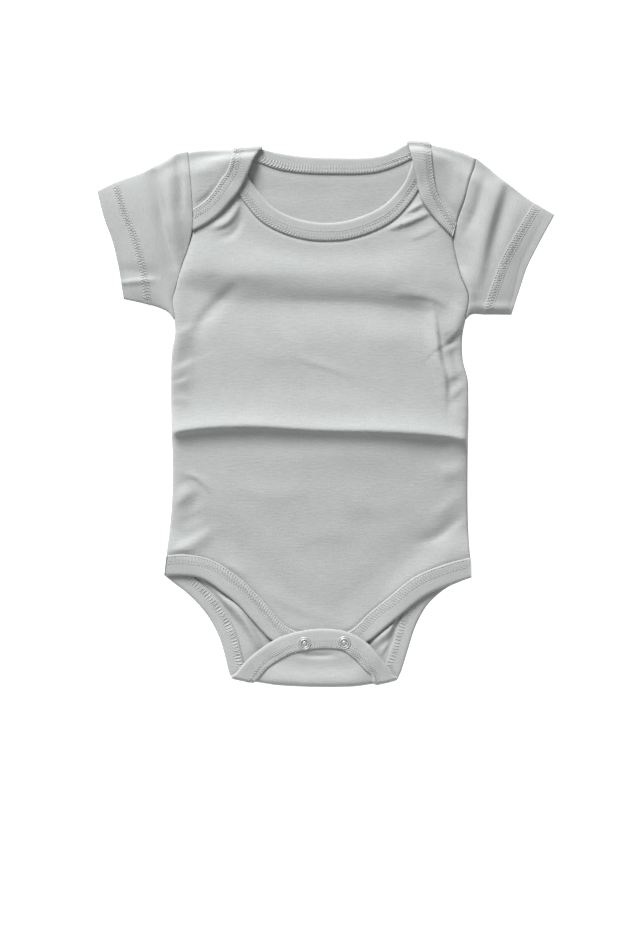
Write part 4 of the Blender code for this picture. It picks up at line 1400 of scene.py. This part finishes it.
# %% The loops on the inside, which the leg and neck openings show
h = FAR + 0.05
for side in ("right", "left"):
    leg = strip(f"back_leg_{side}")
    stitch_run(f"ladder_leg_{side}", leg, fold_back, (0.8, 5.6), h, "rung", 0.28, 2.5)
for row, ends in (("upper", (6.6, 3.6)), ("lower", (0.5, 3.4))):
    stitch_run(f"ladder_neck_{row}", strip("back_neck"), fold_back, ends, h, "slant", 0.22)
sewn = [o for o in bpy.data.objects if o.name.startswith(("needle", "cover", "ladder"))]
print("sewing:", len(sewn), "pieces,", sum(len(o.data.polygons) for o in sewn), "faces")

# %% [markdown]
# ## Hem stitches on the sleeves
# The turned hem is sewn with the same two needle rows and a zigzag between
# them. A sleeve has no strip to follow, so its stitches are placed by shares of
# the sleeve's width and by their distance from the cuff, on both layers.

# %% Hem stitches on the sleeves
HEM_COUNT = 44  # ends of stitches across a layer, from its top to the under-arm
# each kind of stitch: from and to in pitches round the hem, and in mm from the cuff
HEM_KINDS = (
    (-0.38, 0.38, HEM - 0.6, HEM - 0.6), (-0.38, 0.38, HEM - 6, HEM - 6),
    (0.0, 0.45, HEM - 0.8, HEM - 5.8), (0.9, 0.45, HEM - 0.8, HEM - 5.8),
)
ON_TOP, BELOW = 0.66, 0.12  # above the upper layer's middle, above the surface
hump = 0.14 * np.sin(math.pi * ALONG)
for side, cut in SLEEVES.items():
    t = np.linspace(0.03, 0.965, HEM_COUNT)[:, None]
    pitch = 0.935 / (HEM_COUNT - 1)
    made = []
    for up_or_down in (1, -1):
        for a, b, from_cuff, to_cuff in HEM_KINDS:
            tt = t[:-1] + pitch * (a + (b - a) * ALONG)
            ss = hem_share(cut, tt, from_cuff + (to_cuff - from_cuff) * ALONG)
            z = BELOW - hump * 0.5
            if up_or_down > 0:
                z = sleeve_height(cut, ss, tt) + ON_TOP + hump
            at = np.concatenate([sleeve_plan(cut, ss, tt), (z + 0 * tt)[..., None]], -1)
            up = np.zeros_like(at)
            up[..., 2] = up_or_down
            made.append((at, up))
    points, up = (np.concatenate(part) for part in zip(*made))
    threads(f"hem_stitches_{side}", points, up, 0.24)
    print(side, "hem:", len(points), "stitches")

# %% [markdown]
# ## Snaps
# A ring snap has an open ring whose prongs bite through the cloth, with the
# socket's dome standing in its middle, and a stud below. Lathe-turned parts
# could be made with a Screw modifier. Here the profile is carried round by a
# function, because a snap takes the slope of the tail that it is pressed into.


# %% Turned parts
def turned_piece(name, centre, off, profile, closed, steps=60):
    """A profile of (radius, height), from the axis outwards and down, carried
    round an axis, `off` mm off the tail's cloth, whose slope it takes. A closed
    profile makes a ring, an open one is shut by a small face at each end. The
    ring's flange rises and falls by 0.07 * cos(20 * angle), where it bites."""
    r, h = np.array(profile, float).T
    a = np.linspace(0, 2 * math.pi, steps, endpoint=False)[:, None]
    teeth = 0.07 * np.cos(20 * a) * ((r > 4) & (h > 0.1) & closed)
    x, y = centre[0] + r * np.cos(a), centre[1] + r * np.sin(a)
    points = np.stack([x, y, tail_height(x, y) + off + h + teeth], -1)
    i, j = np.meshgrid(np.arange(steps), np.arange(len(r) - (not closed)), indexing="ij")
    n, k = (i + 1) % steps, (j + 1) % len(r)
    quads = np.stack([i, i, n, n], -1) * len(r) + np.stack([j, k, k, j], -1)
    ends = [] if closed else [
        tuple((np.arange(steps) * len(r)).tolist()),
        tuple((np.arange(steps)[::-1] * len(r) + len(r) - 1).tolist()),
    ]
    return add_piece(name, points, quads.reshape(-1, 4), NICKEL, None, ends)


# %% The two snaps
POST_DROP = 2.9  # from the ring's seat down to the post's
# profiles in (radius, height), from the axis outwards and down
RING = [
    (2.4, -0.1), (2.45, 0.55), (2.7, 0.85), (3.0, 0.9), (3.3, 0.75), (3.5, 0.4), (3.65, 0.2),
    (3.85, 0.25), (4.1, 0.5), (4.45, 0.55), (4.75, 0.45), (4.9, 0.2), (4.9, -0.1),
]
DOME = [(0.35, 0.8), (0.9, 0.75), (1.4, 0.6), (1.75, 0.36), (1.9, -0.1)]
POST = [(0.4, 1.0), (1.6, 1.0), (1.8, 0.6), (3.6, 0.6), (3.9, 0.4), (3.9, 0.2), (3.6, 0.02)]
for side, (x, y) in SNAPS.items():
    ring = turned_piece(f"snap_ring_{side}", (x, y), FAR, RING, True)
    dome = turned_piece(f"snap_dome_{side}", (x, y), FAR, DOME, False)
    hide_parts(f"snap_cap_{side}")
    post = turned_piece(f"snap_post_{side}", (x, y), FAR - POST_DROP, POST, False)
    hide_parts(f"snap_stud_{side}")
print("snaps:", 2 * max(r for r, _ in RING), "mm across")

# %% [markdown]
# ## Floor, light and camera
# A white floor that shines a little by itself, like a light table, so that no
# shadow falls on it. One broad lamp beyond the neck rakes across the cloth and
# shows its creases, a weak one by the crotch opens the shadows, and a bright
# even sky does the rest. A lamp straight above would flatten every fold.

# %% Floor
HALF_FLOOR, FLOOR_Z = 3, -0.0006  # metres
corners = [(-1, -1), (1, -1), (1, 1), (-1, 1)]
floor_mesh = bpy.data.meshes.new("floor")
floor_mesh.from_pydata(
    [(x * HALF_FLOOR, y * HALF_FLOOR, FLOOR_Z) for x, y in corners], [], [(0, 1, 2, 3)]
)
floor = bpy.data.objects.new("floor", floor_mesh)
bpy.context.scene.collection.objects.link(floor)
PAPER, tree, shader = new_finish("paper", (0.6, 0.6, 0.6), 0.9)
shader.inputs["Emission Color"].default_value = (1, 1, 1, 1)
shader.inputs["Emission Strength"].default_value = 0.95
floor_mesh.materials.append(PAPER)

# %% Light
world = bpy.data.worlds.new("sky")
bpy.context.scene.world = world
world.use_nodes = True
sky = world.node_tree.nodes["Background"]
sky.inputs[0].default_value, sky.inputs[1].default_value = (0.99, 0.995, 1.0, 1), 0.29


def add_lamp(name, place, aim, size, power):
    """A square lamp at `place`, turned so that its -Z looks at `aim`: Z is the
    way back from the aim, X is level and at right angles to it, Y is Z x X."""
    light = bpy.data.lights.new(name, "AREA")
    light.shape, light.size, light.energy = "SQUARE", size, power
    obj = bpy.data.objects.new(name, light)
    back_z = unit(np.subtract(place, aim, dtype=float))
    side_x = unit(np.cross([0, 0, 1.0], back_z))
    turn = np.eye(4)
    turn[:3] = np.stack([side_x, np.cross(back_z, side_x), back_z, place], -1)
    obj.matrix_world = turn.T.tolist()
    bpy.context.scene.collection.objects.link(obj)
    print(name, "lamp:", power, "W")


add_lamp("window", (-1.38, 3.49, 1.89), (0, 0, 0), 1.75, 326)
add_lamp("fill", (-0.02, -0.52, 0.34), (0, -0.2, 0), 0.3, 0.58)

# %% Camera: straight down
HIGH = 1.6  # metres above the surface
TALL = 0.7076  # metres of the surface from the picture's lower edge to its upper one
SENSOR = 36  # mm
camera = bpy.data.cameras.new("camera")
camera.sensor_fit, camera.sensor_height = "VERTICAL", SENSOR
camera.lens = SENSOR * HIGH / TALL
camera_obj = bpy.data.objects.new("camera", camera)
camera_obj.location = (-0.01155, -0.0395, HIGH)
bpy.context.scene.collection.objects.link(camera_obj)
bpy.context.scene.camera = camera_obj
bpy.context.scene.view_settings.view_transform = "Standard"
print("lens:", round(camera.lens, 1), "mm")

# %% Finish
bpy.context.view_layer.update()
